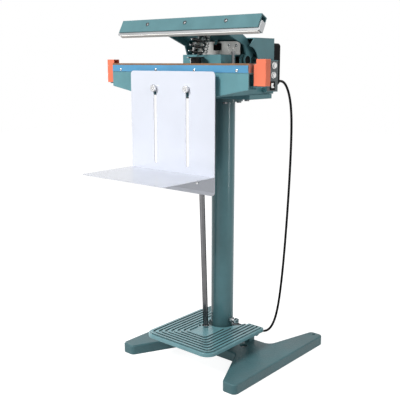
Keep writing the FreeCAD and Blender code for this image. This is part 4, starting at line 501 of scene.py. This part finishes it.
def zinc():
    return finish_material("zinc_plated_sheet", (0.66, 0.66, 0.64), roughness=0.34, spread=0.10, tone=0.14,
                           metallic=1.0, grain=700.0, tones=60.0, bump=0.05, depth=0.0002, edge=0.0006)


def aluminium():
    return finish_material("extruded_aluminium", (0.46, 0.47, 0.48), roughness=0.36, spread=0.08, tone=0.06,
                           metallic=1.0, bump=0.08, depth=0.0002, lines=(4.0, 500.0, 500.0), edge=0.0008)


def black_steel():
    return finish_material("black_oxide_steel", (0.006, 0.0065, 0.007), roughness=0.38, spread=0.1,
                           tone=0.3, grain=1200.0, bump=0.05, depth=0.0002, wear_and_dark_rim=(0.03, 0.03, 0.03),
                           edge=0.0006, specular=0.2)


def spring_black():
    return finish_material("black_spring_enamel", (0.004, 0.0045, 0.005), roughness=0.22, spread=0.05,
                           tone=0.3, grain=1200.0, bump=0.03, depth=0.0001, edge=0.0004, coat=0.3,
                           coat_roughness=0.12, specular=0.4)


def black_plastic():
    return finish_material("black_moulded_plastic", (0.0045, 0.005, 0.0055), roughness=0.50, spread=0.07,
                           tone=0.2, grain=1800.0, bump=0.25, depth=0.0002, wear_and_dark_rim=(0.014, 0.014, 0.015),
                           edge=0.001, specular=0.06)


# A share below 1 gives a copy of the enamel with painted shade
def white_enamel(name, share):
    c = colours()
    return finish_material(name, toned(c.table, share), roughness=0.22, spread=0.05, tone=0.03, grain=500.0,
                           tones=9.0, bump=0.03, depth=0.0003, wear_and_dark_rim=(0.62, 0.63, 0.66), wear_amount=0.4,
                           edge=0.0007, coat=0.4, coat_roughness=0.08)


def set_finish(material, *names):
    """Puts one material on whole CAD nodes."""
    for name in names:
        mesh = NODES[name].data
        mesh.materials.clear()
        mesh.materials.append(material)


# Geometry trees

def new_tree(name, inputs):
    """An empty geometry tree with named inputs; returns the tree and its two end nodes."""
    tree = bpy.data.node_groups.new(name, "GeometryNodeTree")
    tree.interface.new_socket("Geometry", in_out="INPUT", socket_type="NodeSocketGeometry")
    for socket, kind in inputs:
        tree.interface.new_socket(socket, in_out="INPUT", socket_type=kind)
    tree.interface.new_socket("Finish", in_out="INPUT", socket_type="NodeSocketMaterial")
    tree.interface.new_socket("Geometry", in_out="OUTPUT", socket_type="NodeSocketGeometry")
    return tree, tree.nodes.new("NodeGroupInput"), tree.nodes.new("NodeGroupOutput")


def end_tree(tree, shape, ins, outs):
    """Makes what a tree has built real, gives it its finish and puts it out."""
    real = tree.nodes.new("GeometryNodeRealizeInstances")
    tree.links.new(shape, real.inputs["Geometry"])
    skin = tree.nodes.new("GeometryNodeSetMaterial")
    tree.links.new(real.outputs["Geometry"], skin.inputs["Geometry"])
    tree.links.new(ins.outputs["Finish"], skin.inputs["Material"])
    tree.links.new(skin.outputs["Geometry"], outs.inputs["Geometry"])


def repeat_tree():
    """Tree that puts one piece on each point, turned by the point's own attribute."""
    if "repeat_piece" in bpy.data.node_groups:
        return bpy.data.node_groups["repeat_piece"]
    tree, ins, outs = new_tree("repeat_piece", [("Piece", "NodeSocketObject"), ("Size", "NodeSocketFloat")])
    nodes, links = tree.nodes, tree.links
    piece = nodes.new("GeometryNodeObjectInfo")
    links.new(ins.outputs["Piece"], piece.inputs["Object"])
    turn = nodes.new("GeometryNodeInputNamedAttribute")
    turn.data_type = "FLOAT_VECTOR"
    turn.inputs["Name"].default_value = "turn"
    rotate = nodes.new("FunctionNodeEulerToRotation")
    links.new(turn.outputs["Attribute"], rotate.inputs["Euler"])
    put = nodes.new("GeometryNodeInstanceOnPoints")
    links.new(ins.outputs["Geometry"], put.inputs["Points"])
    links.new(piece.outputs["Geometry"], put.inputs["Instance"])
    links.new(rotate.outputs["Rotation"], put.inputs["Rotation"])
    links.new(ins.outputs["Size"], put.inputs["Scale"])
    end_tree(tree, put.outputs["Instances"], ins, outs)
    return tree


def spring_tree():
    """Tree that winds a round wire into a coil spring standing on the origin."""
    if "coil_spring" in bpy.data.node_groups:
        return bpy.data.node_groups["coil_spring"]
    sizes_in = [(name, "NodeSocketFloat") for name in ("Turns", "Mean Radius", "Height", "Wire Radius")]
    tree, ins, outs = new_tree("coil_spring", sizes_in)
    nodes, links = tree.nodes, tree.links
    wind = nodes.new("GeometryNodeCurveSpiral")
    wind.inputs["Resolution"].default_value = SPRING_POINTS_PER_TURN
    links.new(ins.outputs["Turns"], wind.inputs["Rotations"])
    links.new(ins.outputs["Mean Radius"], wind.inputs["Start Radius"])
    links.new(ins.outputs["Mean Radius"], wind.inputs["End Radius"])
    links.new(ins.outputs["Height"], wind.inputs["Height"])
    ring = nodes.new("GeometryNodeCurvePrimitiveCircle")
    ring.inputs["Resolution"].default_value = SPRING_WIRE_SIDES
    links.new(ins.outputs["Wire Radius"], ring.inputs["Radius"])
    tube = nodes.new("GeometryNodeCurveToMesh")
    links.new(wind.outputs["Curve"], tube.inputs["Curve"])
    links.new(ring.outputs["Curve"], tube.inputs["Profile Curve"])
    tube.inputs["Fill Caps"].default_value = True
    smooth = nodes.new("GeometryNodeSetShadeSmooth")
    links.new(tube.outputs["Mesh"], smooth.inputs["Geometry"])
    end_tree(tree, smooth.outputs["Geometry"], ins, outs)
    return tree


def made_by_tree(name, mesh, tree, **values):
    """Runs a tree on a mesh and keeps the result as a plain object."""
    holder = bpy.data.objects.new(name + "_holder", mesh)
    bpy.context.scene.collection.objects.link(holder)
    modifier = holder.modifiers.new("tree", "NODES")
    modifier.node_group = tree
    for item in tree.interface.items_tree:
        key = item.name.replace(" ", "_")
        if item.in_out == "INPUT" and key in values:
            modifier[item.identifier] = values[key]
    holder.update_tag()
    bpy.context.view_layer.update()
    graph = bpy.context.evaluated_depsgraph_get()
    plain = bpy.data.meshes.new_from_object(holder.evaluated_get(graph))
    bpy.data.objects.remove(holder)
    plain.name = name
    piece = bpy.data.objects.new(name, plain)
    bpy.context.scene.collection.objects.link(piece)
    return piece


def point_mesh(name, places):
    """A mesh of loose points; each holds the Euler angles that turn the piece put on it."""
    mesh = bpy.data.meshes.new(name)
    mesh.from_pydata([point for point, _ in places], [], [])
    turn = mesh.attributes.new("turn", "FLOAT_VECTOR", "POINT")
    for i, (_, angles) in enumerate(places):
        turn.data[i].vector = angles
    return mesh


def turn_to(direction, spin=0.0):
    """Euler angles that turn +Z to a direction, spun about it."""
    aim = Vector(direction).to_track_quat("Z", "Y")
    return tuple((aim @ Quaternion((0, 0, 1), spin)).to_euler())


def ring_of(shape, radius, height):
    """Points of a level circle about the Z axis."""
    angles = [2 * math.pi * i / PAN_SIDES for i in range(PAN_SIDES)]
    return [shape.verts.new((radius * math.cos(a), radius * math.sin(a), height)) for a in angles]


def cross_outline(radius):
    """Corners of the cross recess, arm by arm."""
    half = RECESS_HALF_WIDTH * radius
    long = RECESS_LENGTH * radius
    corners = []
    for i in range(RECESS_ARMS):
        turn = Matrix.Rotation(2 * math.pi * i / RECESS_ARMS, 2)
        corners += [turn @ Vector(corner) for corner in ((half, -half), (long, -half), (long, half))]
    return corners


def pan_head(name, radius, height):
    """A pan-head screw with a cross recess, standing on the origin along +Z."""
    mesh = bpy.data.meshes.new(name)
    shape = bmesh.new()
    rings = [ring_of(shape, radius * share, height * lift) for share, lift in PAN_RINGS]
    for low, high in zip(rings, rings[1:]):
        for i in range(PAN_SIDES):
            following = (i + 1) % PAN_SIDES
            shape.faces.new((low[i], low[following], high[following], high[i]))
    shape.faces.new(list(reversed(rings[0])))
    outline = cross_outline(radius)
    rim = [shape.verts.new((p.x, p.y, height)) for p in outline]
    floor = [shape.verts.new((p.x * RECESS_TAPER, p.y * RECESS_TAPER, height * RECESS_FLOOR))
             for p in outline]
    count = len(rim)
    for i in range(count):
        following = (i + 1) % count
        shape.faces.new((rim[i], floor[i], floor[following], rim[following]))
    shape.faces.new(floor)
    outer = [shape.edges.get((rings[-1][i], rings[-1][(i + 1) % PAN_SIDES])) for i in range(PAN_SIDES)]
    inner = [shape.edges.get((rim[i], rim[(i + 1) % count])) for i in range(count)]
    bmesh.ops.triangle_fill(shape, use_beauty=True, edges=outer + inner)
    bmesh.ops.recalc_face_normals(shape, faces=shape.faces)
    shape.to_mesh(mesh)
    shape.free()
    piece = bpy.data.objects.new(name, mesh)
    bpy.context.scene.collection.objects.link(piece)
    return piece


def set_smooth(piece, degrees=40.0):
    """Smooth shading that keeps edges sharper than an angle."""
    piece.data.shade_smooth()
    piece.data.set_sharp_from_angle(angle=math.radians(degrees))


# Operators

class SEALER_OT_stage(bpy.types.Operator):
    """Camera, lamps, floor and pale surroundings"""

    bl_idname = "sealer.stage"
    bl_label = "Stage"

    def execute(self, context):
        scene = context.scene
        scene.view_settings.view_transform = "Standard"
        self.camera(scene)
        self.floor(scene)
        self.surroundings(scene)
        for lamp in LAMPS:
            self.lamp(scene, *lamp)
        return {"FINISHED"}

    def camera(self, scene):
        """Camera at the photograph's viewing angle."""
        eye = bpy.data.cameras.new("camera")
        eye.lens = CAMERA_LENS
        eye.sensor_width = CAMERA_SENSOR
        camera = bpy.data.objects.new("camera", eye)
        scene.collection.objects.link(camera)
        camera.location = CAMERA_PLACE
        level = math.cos(CAMERA_DIP)
        ahead = Vector((-math.sin(CAMERA_TURN) * level, math.cos(CAMERA_TURN) * level,
                        -math.sin(CAMERA_DIP)))
        camera.rotation_mode = "QUATERNION"
        camera.rotation_quaternion = ahead.to_track_quat("-Z", "Y")
        scene.camera = camera

    def lamp(self, scene, name, place, power, width, height):
        """A soft lamp that faces the middle of the object."""
        light = bpy.data.lights.new(name, "AREA")
        light.energy = power
        light.size = width
        if height:
            light.shape = "RECTANGLE"
            light.size_y = height
        lamp = bpy.data.objects.new(name, light)
        lamp.location = place
        lamp.rotation_mode = "QUATERNION"
        lamp.rotation_quaternion = (LAMP_AIM - Vector(place)).to_track_quat("-Z", "Y")
        scene.collection.objects.link(lamp)

    def seen_directly(self, tree):
        """One where the camera, a mirror or glass looks at the surface, and zero for other light."""
        path = tree.nodes.new("ShaderNodeLightPath")
        total = path.outputs["Is Camera Ray"]
        for name in ("Is Glossy Ray", "Is Transmission Ray"):
            total = joined(tree, "MAXIMUM", total, path.outputs[name])
        return total

    def floor(self, scene):
        """Pale floor that glows white to the eye, except right under the object, and keeps its shadow."""
        mesh = bpy.data.meshes.new("floor")
        corners = [(-FLOOR_HALF, -FLOOR_HALF, 0), (FLOOR_HALF, -FLOOR_HALF, 0),
                   (FLOOR_HALF, FLOOR_HALF, 0), (-FLOOR_HALF, FLOOR_HALF, 0)]
        mesh.from_pydata(corners, [], [(0, 1, 2, 3)])
        floor = bpy.data.objects.new("floor", mesh)
        scene.collection.objects.link(floor)
        made = bpy.data.materials.new("pale_floor")
        made.use_nodes = True
        tree = made.node_tree
        skin = tree.nodes["Principled BSDF"]
        skin.inputs["Base Color"].default_value = FLOOR_GREY
        skin.inputs["Roughness"].default_value = 0.9
        skin.inputs["Specular IOR Level"].default_value = 0.0
        skin.inputs["Emission Color"].default_value = WHITE
        glow = joined(tree, "MULTIPLY", self.seen_directly(tree), FLOOR_GLOW)
        # Painted shade: an occlusion mask takes the glow away where pieces stand close over the floor, which
        # darkens it under the object
        cover = tree.nodes.new("ShaderNodeAmbientOcclusion")
        cover.samples = 8
        cover.inputs["Distance"].default_value = FLOOR_COVER_REACH
        uncovered = stretched(tree, cover.outputs["AO"], zero_at=0.0, one_at=FLOOR_OPEN_SHARE)
        strength = joined(tree, "MULTIPLY", glow, uncovered)
        tree.links.new(strength, skin.inputs["Emission Strength"])
        mesh.materials.append(made)

    def surroundings(self, scene):
        """White world, dimmer as light than as it is seen."""
        world = bpy.data.worlds.new("surroundings")
        world.use_nodes = True
        scene.world = world
        tree = world.node_tree
        back = tree.nodes["Background"]
        back.inputs["Color"].default_value = WHITE
        strength = between(tree, self.seen_directly(tree), AMBIENT_LIGHT, AMBIENT_SEEN)
        tree.links.new(strength, back.inputs["Strength"])


class SEALER_OT_cord(bpy.types.Operator):
    """Mains cord from the strain relief to its coil and plug"""

    bl_idname = "sealer.cord"
    bl_label = "Mains cord"

    def coil_point(self, turns, widen=1.0):
        """Point of the coil, which winds inwards on the floor and outwards again on top."""
        half = COIL_TURNS / 2
        radius = (COIL_OUTER - COIL_STEP * (half - abs(turns - half))) * widen
        climb = min(max(turns - half + COIL_CLIMB / 2, 0), COIL_CLIMB) / COIL_CLIMB
        height = COIL_FLOOR + COIL_RISE * (1 - math.cos(math.pi * climb)) / 2
        angle = math.pi / 2 + 2 * math.pi * turns
        x, y = COIL_CENTRE
        return (x + radius * math.cos(angle), y + radius * math.sin(angle), height)

    def execute(self, context):
        steps = int(COIL_TURNS * COIL_POINTS_PER_TURN)
        widen = 1 / math.cos(math.pi / COIL_POINTS_PER_TURN)
        points = list(CORD_ROUTE)
        for i in range(steps):
            points.append(self.coil_point((i + 0.5) * COIL_TURNS / steps, widen))
        last = Vector(self.coil_point(COIL_TURNS))
        just_before = Vector(self.coil_point(COIL_TURNS - COIL_LAST_BIT))
        heading = (last - just_before).normalized()
        points += [tuple(last), tuple(last + heading * COIL_LEAD)]
        line = bpy.data.curves.new("mains_cord", "CURVE")
        line.dimensions = "3D"
        line.bevel_depth = sizes().cord_diameter / 2
        line.bevel_resolution = 5
        line.resolution_u = 5
        line.use_fill_caps = True
        spline = line.splines.new("NURBS")
        spline.points.add(len(points) - 1)
        for place, point in zip(spline.points, points):
            place.co = (*point, 1.0)
        spline.order_u = 3
        spline.use_endpoint_u = True
        cord = bpy.data.objects.new("mains_cord", line)
        context.scene.collection.objects.link(cord)
        rubber = finish_material("black_cord_rubber", (0.0045, 0.0045, 0.005), roughness=0.46, spread=0.08,
                                 tone=0.25, grain=900.0, bump=0.08, depth=0.0002, specular=0.08)
        line.materials.append(rubber)
        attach(cord, "frame")
        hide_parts("cord_free", "cord_coil")
        set_finish(black_plastic(), "plug", "cord_tie", "strain_relief")
        return {"FINISHED"}


class SEALER_OT_springs(bpy.types.Operator):
    """Black main spring and bright second spring under the arm"""

    bl_idname = "sealer.springs"
    bl_label = "Springs"

    def wind(self, name, node, wire, finish, slot, foot, head, mean, turns, anchor, keep):
        """Winds one spring from its foot to its head."""
        lean = Vector(head) - Vector(foot)
        empty = bpy.data.meshes.new(name + "_start")
        spring = made_by_tree(name, empty, spring_tree(), Turns=float(turns), Mean_Radius=mean,
                              Height=lean.length, Wire_Radius=wire / 2, Finish=finish)
        aim = Vector((0, 0, 1)).rotation_difference(lean.normalized()).to_matrix().to_4x4()
        spring.data.transform(Matrix.Translation(Vector(foot)) @ aim)
        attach(spring, "frame")
        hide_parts(node)
        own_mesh(spring)

    def execute(self, context):
        self.wind("main_spring_wire", "main_return_spring", sizes().main_wire, spring_black(),
                  "black_steel", **MAIN_SPRING)
        self.wind("second_spring_wire", "second_spring", sizes().second_wire, zinc(),
                  "bright_steel", **SECOND_SPRING)
        return {"FINISHED"}


class SEALER_OT_painted(bpy.types.Operator):
    """Green paint on the castings and sheet pieces"""

    bl_idname = "sealer.painted"
    bl_label = "Painted pieces"

    def execute(self, context):
        set_finish(shaded_cast_paint(), "base_casting", "pedal_bearing_blocks")
        set_finish(lit_pedal_paint(), "pedal_plate")
        set_finish(shaded_column_paint(), "column_tube")
        # Painted shade on the jaw and painted light on the beam: darker and paler copies of the one green
        # paint
        set_finish(paint("green_paint_on_jaw", share=0.82), "jaw_channel")
        set_finish(paint("green_paint_on_beam", share=1.14), "front_beam")
        set_finish(paint(), "head_plate", "body_tray", "deck_plate", "wiring_cover", "rear_housing",
                   "control_box", "arm_sides", "arm_top_plate", "pivot_ears")
        return {"FINISHED"}


class SEALER_OT_metals(bpy.types.Operator):
    """Bright, zinc plated and brass pieces"""

    bl_idname = "sealer.metals"
    bl_label = "Metal pieces"

    def execute(self, context):
        set_finish(chrome(), "column_lock_bolt", "table_spacers")
        # Painted reflection: near-black laid along the knobs' edges through the wear mask stands for dark
        # surroundings seen in the polished metal
        polished = finish_material("polished_thumb_knob", (0.90, 0.90, 0.91), roughness=0.18, spread=0.06,
                                   tone=0.10, metallic=1.0, tones=120.0, bump=0.03, depth=0.0001,
                                   wear_and_dark_rim=(0.02, 0.02, 0.022), wear_amount=1.6, edge=0.0022,
                                   glancing=(0.03, 0.03, 0.032))
        set_finish(polished, "thumb_knob_left", "thumb_knob_right")
        set_finish(dull_steel(), "head_bolts", "stop_bolt", "rod_foot_pin", "pedal_axle")
        rod = finish_material("drawn_steel_rod", (0.15, 0.15, 0.155), roughness=0.16, spread=0.08,
                              tone=0.25, metallic=1.0, bump=0.08, depth=0.0002, lines=(500.0, 500.0, 4.0),
                              edge=0.0006, glancing=(0.012, 0.012, 0.013))
        set_finish(rod, "pull_rod")
        set_finish(zinc(), "rod_yoke", "switch_plate", "transformer_core")
        set_finish(aluminium(), "lower_sealing_bar", "press_bar")
        set_finish(black_steel(), "spring_seat", "pivot_shaft", "pivot_bushes")
        brass = finish_material("machined_brass", (0.62, 0.43, 0.17), roughness=0.28, metallic=1.0,
                                bump=0.05, depth=0.0002, edge=0.0006)
        set_finish(brass, "electrode_blocks")
        ribbon = finish_material("drawn_ribbon", (0.36, 0.34, 0.31), roughness=0.3, metallic=1.0, bump=0.05,
                                 depth=0.0001, lines=(4.0, 700.0, 700.0), edge=0.0002)
        set_finish(ribbon, "heating_ribbon")
        return {"FINISHED"}


class SEALER_OT_sealing(bpy.types.Operator):
    """Cloth, clamp strip, silicone and end caps of the sealing bar"""

    bl_idname = "sealer.sealing"
    bl_label = "Sealing pieces"

    def execute(self, context):
        c = colours()
        cloth = finish_material("non_stick_cloth", c.cloth, roughness=0.42, spread=0.1, tone=0.25,
                                grain=1600.0, tones=35.0, bump=0.3, depth=0.0003, edge=0.0004)
        set_finish(cloth, "cover_cloth")
        strip = finish_material("blue_anodised_strip", c.strip, roughness=0.32, spread=0.06, tone=0.10,
                                metallic=0.2, bump=0.06, depth=0.0002, lines=(4.0, 500.0, 500.0),
                                wear_and_dark_rim=(0.35, 0.45, 0.6), wear_amount=0.5, edge=0.0005)
        set_finish(strip, "blue_clamp_strip")
        caps = finish_material("orange_moulded_plastic", c.caps, roughness=0.34, spread=0.06, tone=0.08,
                               grain=1400.0, bump=0.10, depth=0.0002, wear_and_dark_rim=(0.90, 0.42, 0.25),
                               wear_amount=0.4, edge=0.0012, specular=0.2)
        set_finish(caps, "end_caps")
        silicone = finish_material("white_silicone", (0.56, 0.56, 0.55), roughness=0.55, spread=0.08,
                                   tone=0.06, grain=900.0, bump=0.10, depth=0.0003, edge=0.0008)
        set_finish(silicone, "silicone_strip")
        return {"FINISHED"}


class SEALER_OT_table(bpy.types.Operator):
    """White enamelled work table"""

    bl_idname = "sealer.table"
    bl_label = "Work table"

    def execute(self, context):
        set_finish(white_enamel("white_plate_enamel", share=1.0), "table_back_plate")
        # Painted shade: the shelf takes a darker copy of the plate's enamel
        set_finish(white_enamel("white_shelf_enamel", share=0.80), "table_shelf")
        return {"FINISHED"}


class SEALER_OT_electrics(bpy.types.Operator):
    """Rear cover, switches, timer knobs, panel and what is inside the tray"""

    bl_idname = "sealer.electrics"
    bl_label = "Electrics"

    def execute(self, context):
        set_finish(black_plastic(), "rear_cover", "micro_switch_body", "power_switch_body")
        red = finish_material("red_plastic", (0.50, 0.025, 0.02), roughness=0.30, grain=1500.0, bump=0.06,
                              depth=0.0001, edge=0.0005)
        set_finish(red, "micro_switch_plunger")
        knob = finish_material("white_knob_plastic", (0.92, 0.92, 0.91), roughness=0.22, tone=0.05,
                               metallic=0.6, grain=1500.0, bump=0.06, depth=0.0001, edge=0.0008)
        set_finish(knob, "seal_timer_knob", "cool_timer_knob", "power_rocker")
        panel = finish_material("grey_panel_film", (0.10, 0.12, 0.125), roughness=0.45, tone=0.06,
                                grain=2000.0, bump=0.10, depth=0.0001, edge=0.0004)
        set_finish(panel, "control_panel")
        board = finish_material("green_laminate", (0.02, 0.12, 0.05), roughness=0.4, tone=0.2, grain=800.0,
                                bump=0.1)
        set_finish(board, "timer_board")
        winding = finish_material("varnished_winding", (0.30, 0.17, 0.04), roughness=0.35, tone=0.3,
                                  bump=0.3, depth=0.0005, lines=(3.0, 3.0, 900.0))
        set_finish(winding, "transformer_winding")
        return {"FINISHED"}


class SEALER_OT_screws(bpy.types.Operator):
    """Pan-head screws of the strip, jaw, covers and shelf"""

    bl_idname = "sealer.screws"
    bl_label = "Screws"

    def places(self, direction, xs, y, z, spin, step):
        """Place and turn of each screw of a row that faces one way."""
        return [((x, y, z), turn_to(direction, spin + step * i)) for i, x in enumerate(xs)]

    def put(self, name, places, radius, height, body, node, finish):
        """Puts one screw on each place, as one piece that rides on a body."""
        model = pan_head(name + "_model", radius, height)
        piece = made_by_tree(name, point_mesh(name + "_points", places), repeat_tree(), Piece=model,
                             Size=1.0, Finish=finish)
        bpy.data.objects.remove(model)
        set_smooth(piece)
        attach(piece, body)
        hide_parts(node)

    def execute(self, context):
        ahead = (0, -1, 0)
        behind = (0, 1, 0)
        head = self.places(ahead, **STRIP_SCREWS) + self.places(ahead, **SWITCH_PLATE_SCREWS)
        head += self.places(behind, **LOW_COVER_SCREWS) + self.places(behind, **HIGH_COVER_SCREWS)
        self.put("head_pan_screws", head, sizes().screw_radius, HEAD_SCREW_HEIGHT, "frame", "head_screws",
                 chrome())
        tilt = Matrix.Rotation(-JAW_OPEN, 3, "X")
        face = PIVOT + tilt @ (JAW_FACE_CLOSED - PIVOT)
        jaw = self.places(tilt @ Vector(ahead), y=face.y, z=face.z, **JAW_SCREWS)
        self.put("jaw_pan_screws", jaw, JAW_SCREW_RADIUS, JAW_SCREW_HEIGHT, "upper_jaw", "jaw_screws",
                 dull_steel())
        shelf = self.places(ahead, **SHELF_SCREWS)
        self.put("shelf_pan_screws", shelf, SHELF_SCREW_RADIUS, SHELF_SCREW_HEIGHT, "table", "shelf_screws",
                 chrome())
        return {"FINISHED"}


class SEALER_OT_dial_marks(bpy.types.Operator):
    """Pale marks round the timer knobs"""

    bl_idname = "sealer.dial_marks"
    bl_label = "Dial marks"

    def execute(self, context):
        long = sizes().tick_length
        mesh = bpy.data.meshes.new("tick_model")
        shape = bmesh.new()
        block = Matrix.Diagonal((TICK_THICKNESS, TICK_WIDTH, long, 1.0))
        bmesh.ops.create_cube(shape, size=1.0, matrix=block)
        shape.to_mesh(mesh)
        shape.free()
        tick = bpy.data.objects.new("tick_model", mesh)
        context.scene.collection.objects.link(tick)
        middle = TICK_START + long / 2
        places = []
        for y, z in KNOB_CENTRES:
            for i in range(TICK_COUNT):
                angle = TICK_FIRST + TICK_STEP * i
                place = (PANEL_FACE, y + middle * math.sin(angle), z + middle * math.cos(angle))
                places.append((place, tuple(Euler((-angle, 0, 0)))))
        ink = finish_material("pale_panel_ink", (0.62, 0.63, 0.62), roughness=0.5, grain=2000.0, bump=0.02)
        marks = made_by_tree("dial_marks", point_mesh("dial_mark_points", places), repeat_tree(),
                             Piece=tick, Size=1.0, Finish=ink)
        bpy.data.objects.remove(tick)
        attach(marks, "frame")
        return {"FINISHED"}


class SEALER_PT_sidebar(bpy.types.Panel):
    """Lists the sealer's pieces, sizes and colours"""

    bl_idname = "SEALER_PT_sidebar"
    bl_label = "Heat sealer"
    bl_space_type = "VIEW_3D"
    bl_region_type = "UI"
    bl_category = "Sealer"

    def draw(self, context):
        for operator in OPERATORS:
            self.layout.operator(operator.bl_idname)
        for settings in (context.scene.sealer_colours, context.scene.sealer_sizes):
            for name in settings.__annotations__:
                self.layout.prop(settings, name)


OPERATORS = (SEALER_OT_stage, SEALER_OT_cord, SEALER_OT_springs, SEALER_OT_painted, SEALER_OT_metals,
             SEALER_OT_sealing, SEALER_OT_table, SEALER_OT_electrics, SEALER_OT_screws, SEALER_OT_dial_marks)
CLASSES = (SealerColours, SealerSizes) + OPERATORS + (SEALER_PT_sidebar,)


def register():
    for each in CLASSES:
        bpy.utils.register_class(each)
    bpy.types.Scene.sealer_colours = bpy.props.PointerProperty(type=SealerColours)
    bpy.types.Scene.sealer_sizes = bpy.props.PointerProperty(type=SealerSizes)


def unregister():
    del bpy.types.Scene.sealer_colours
    del bpy.types.Scene.sealer_sizes
    for each in reversed(CLASSES):
        bpy.utils.unregister_class(each)


def main():
    register()
    bpy.ops.sealer.stage()
    bpy.ops.sealer.cord()
    bpy.ops.sealer.springs()
    bpy.ops.sealer.painted()
    bpy.ops.sealer.metals()
    bpy.ops.sealer.sealing()
    bpy.ops.sealer.table()
    bpy.ops.sealer.electrics()
    bpy.ops.sealer.screws()
    bpy.ops.sealer.dial_marks()


if __name__ == "__main__":
    main()
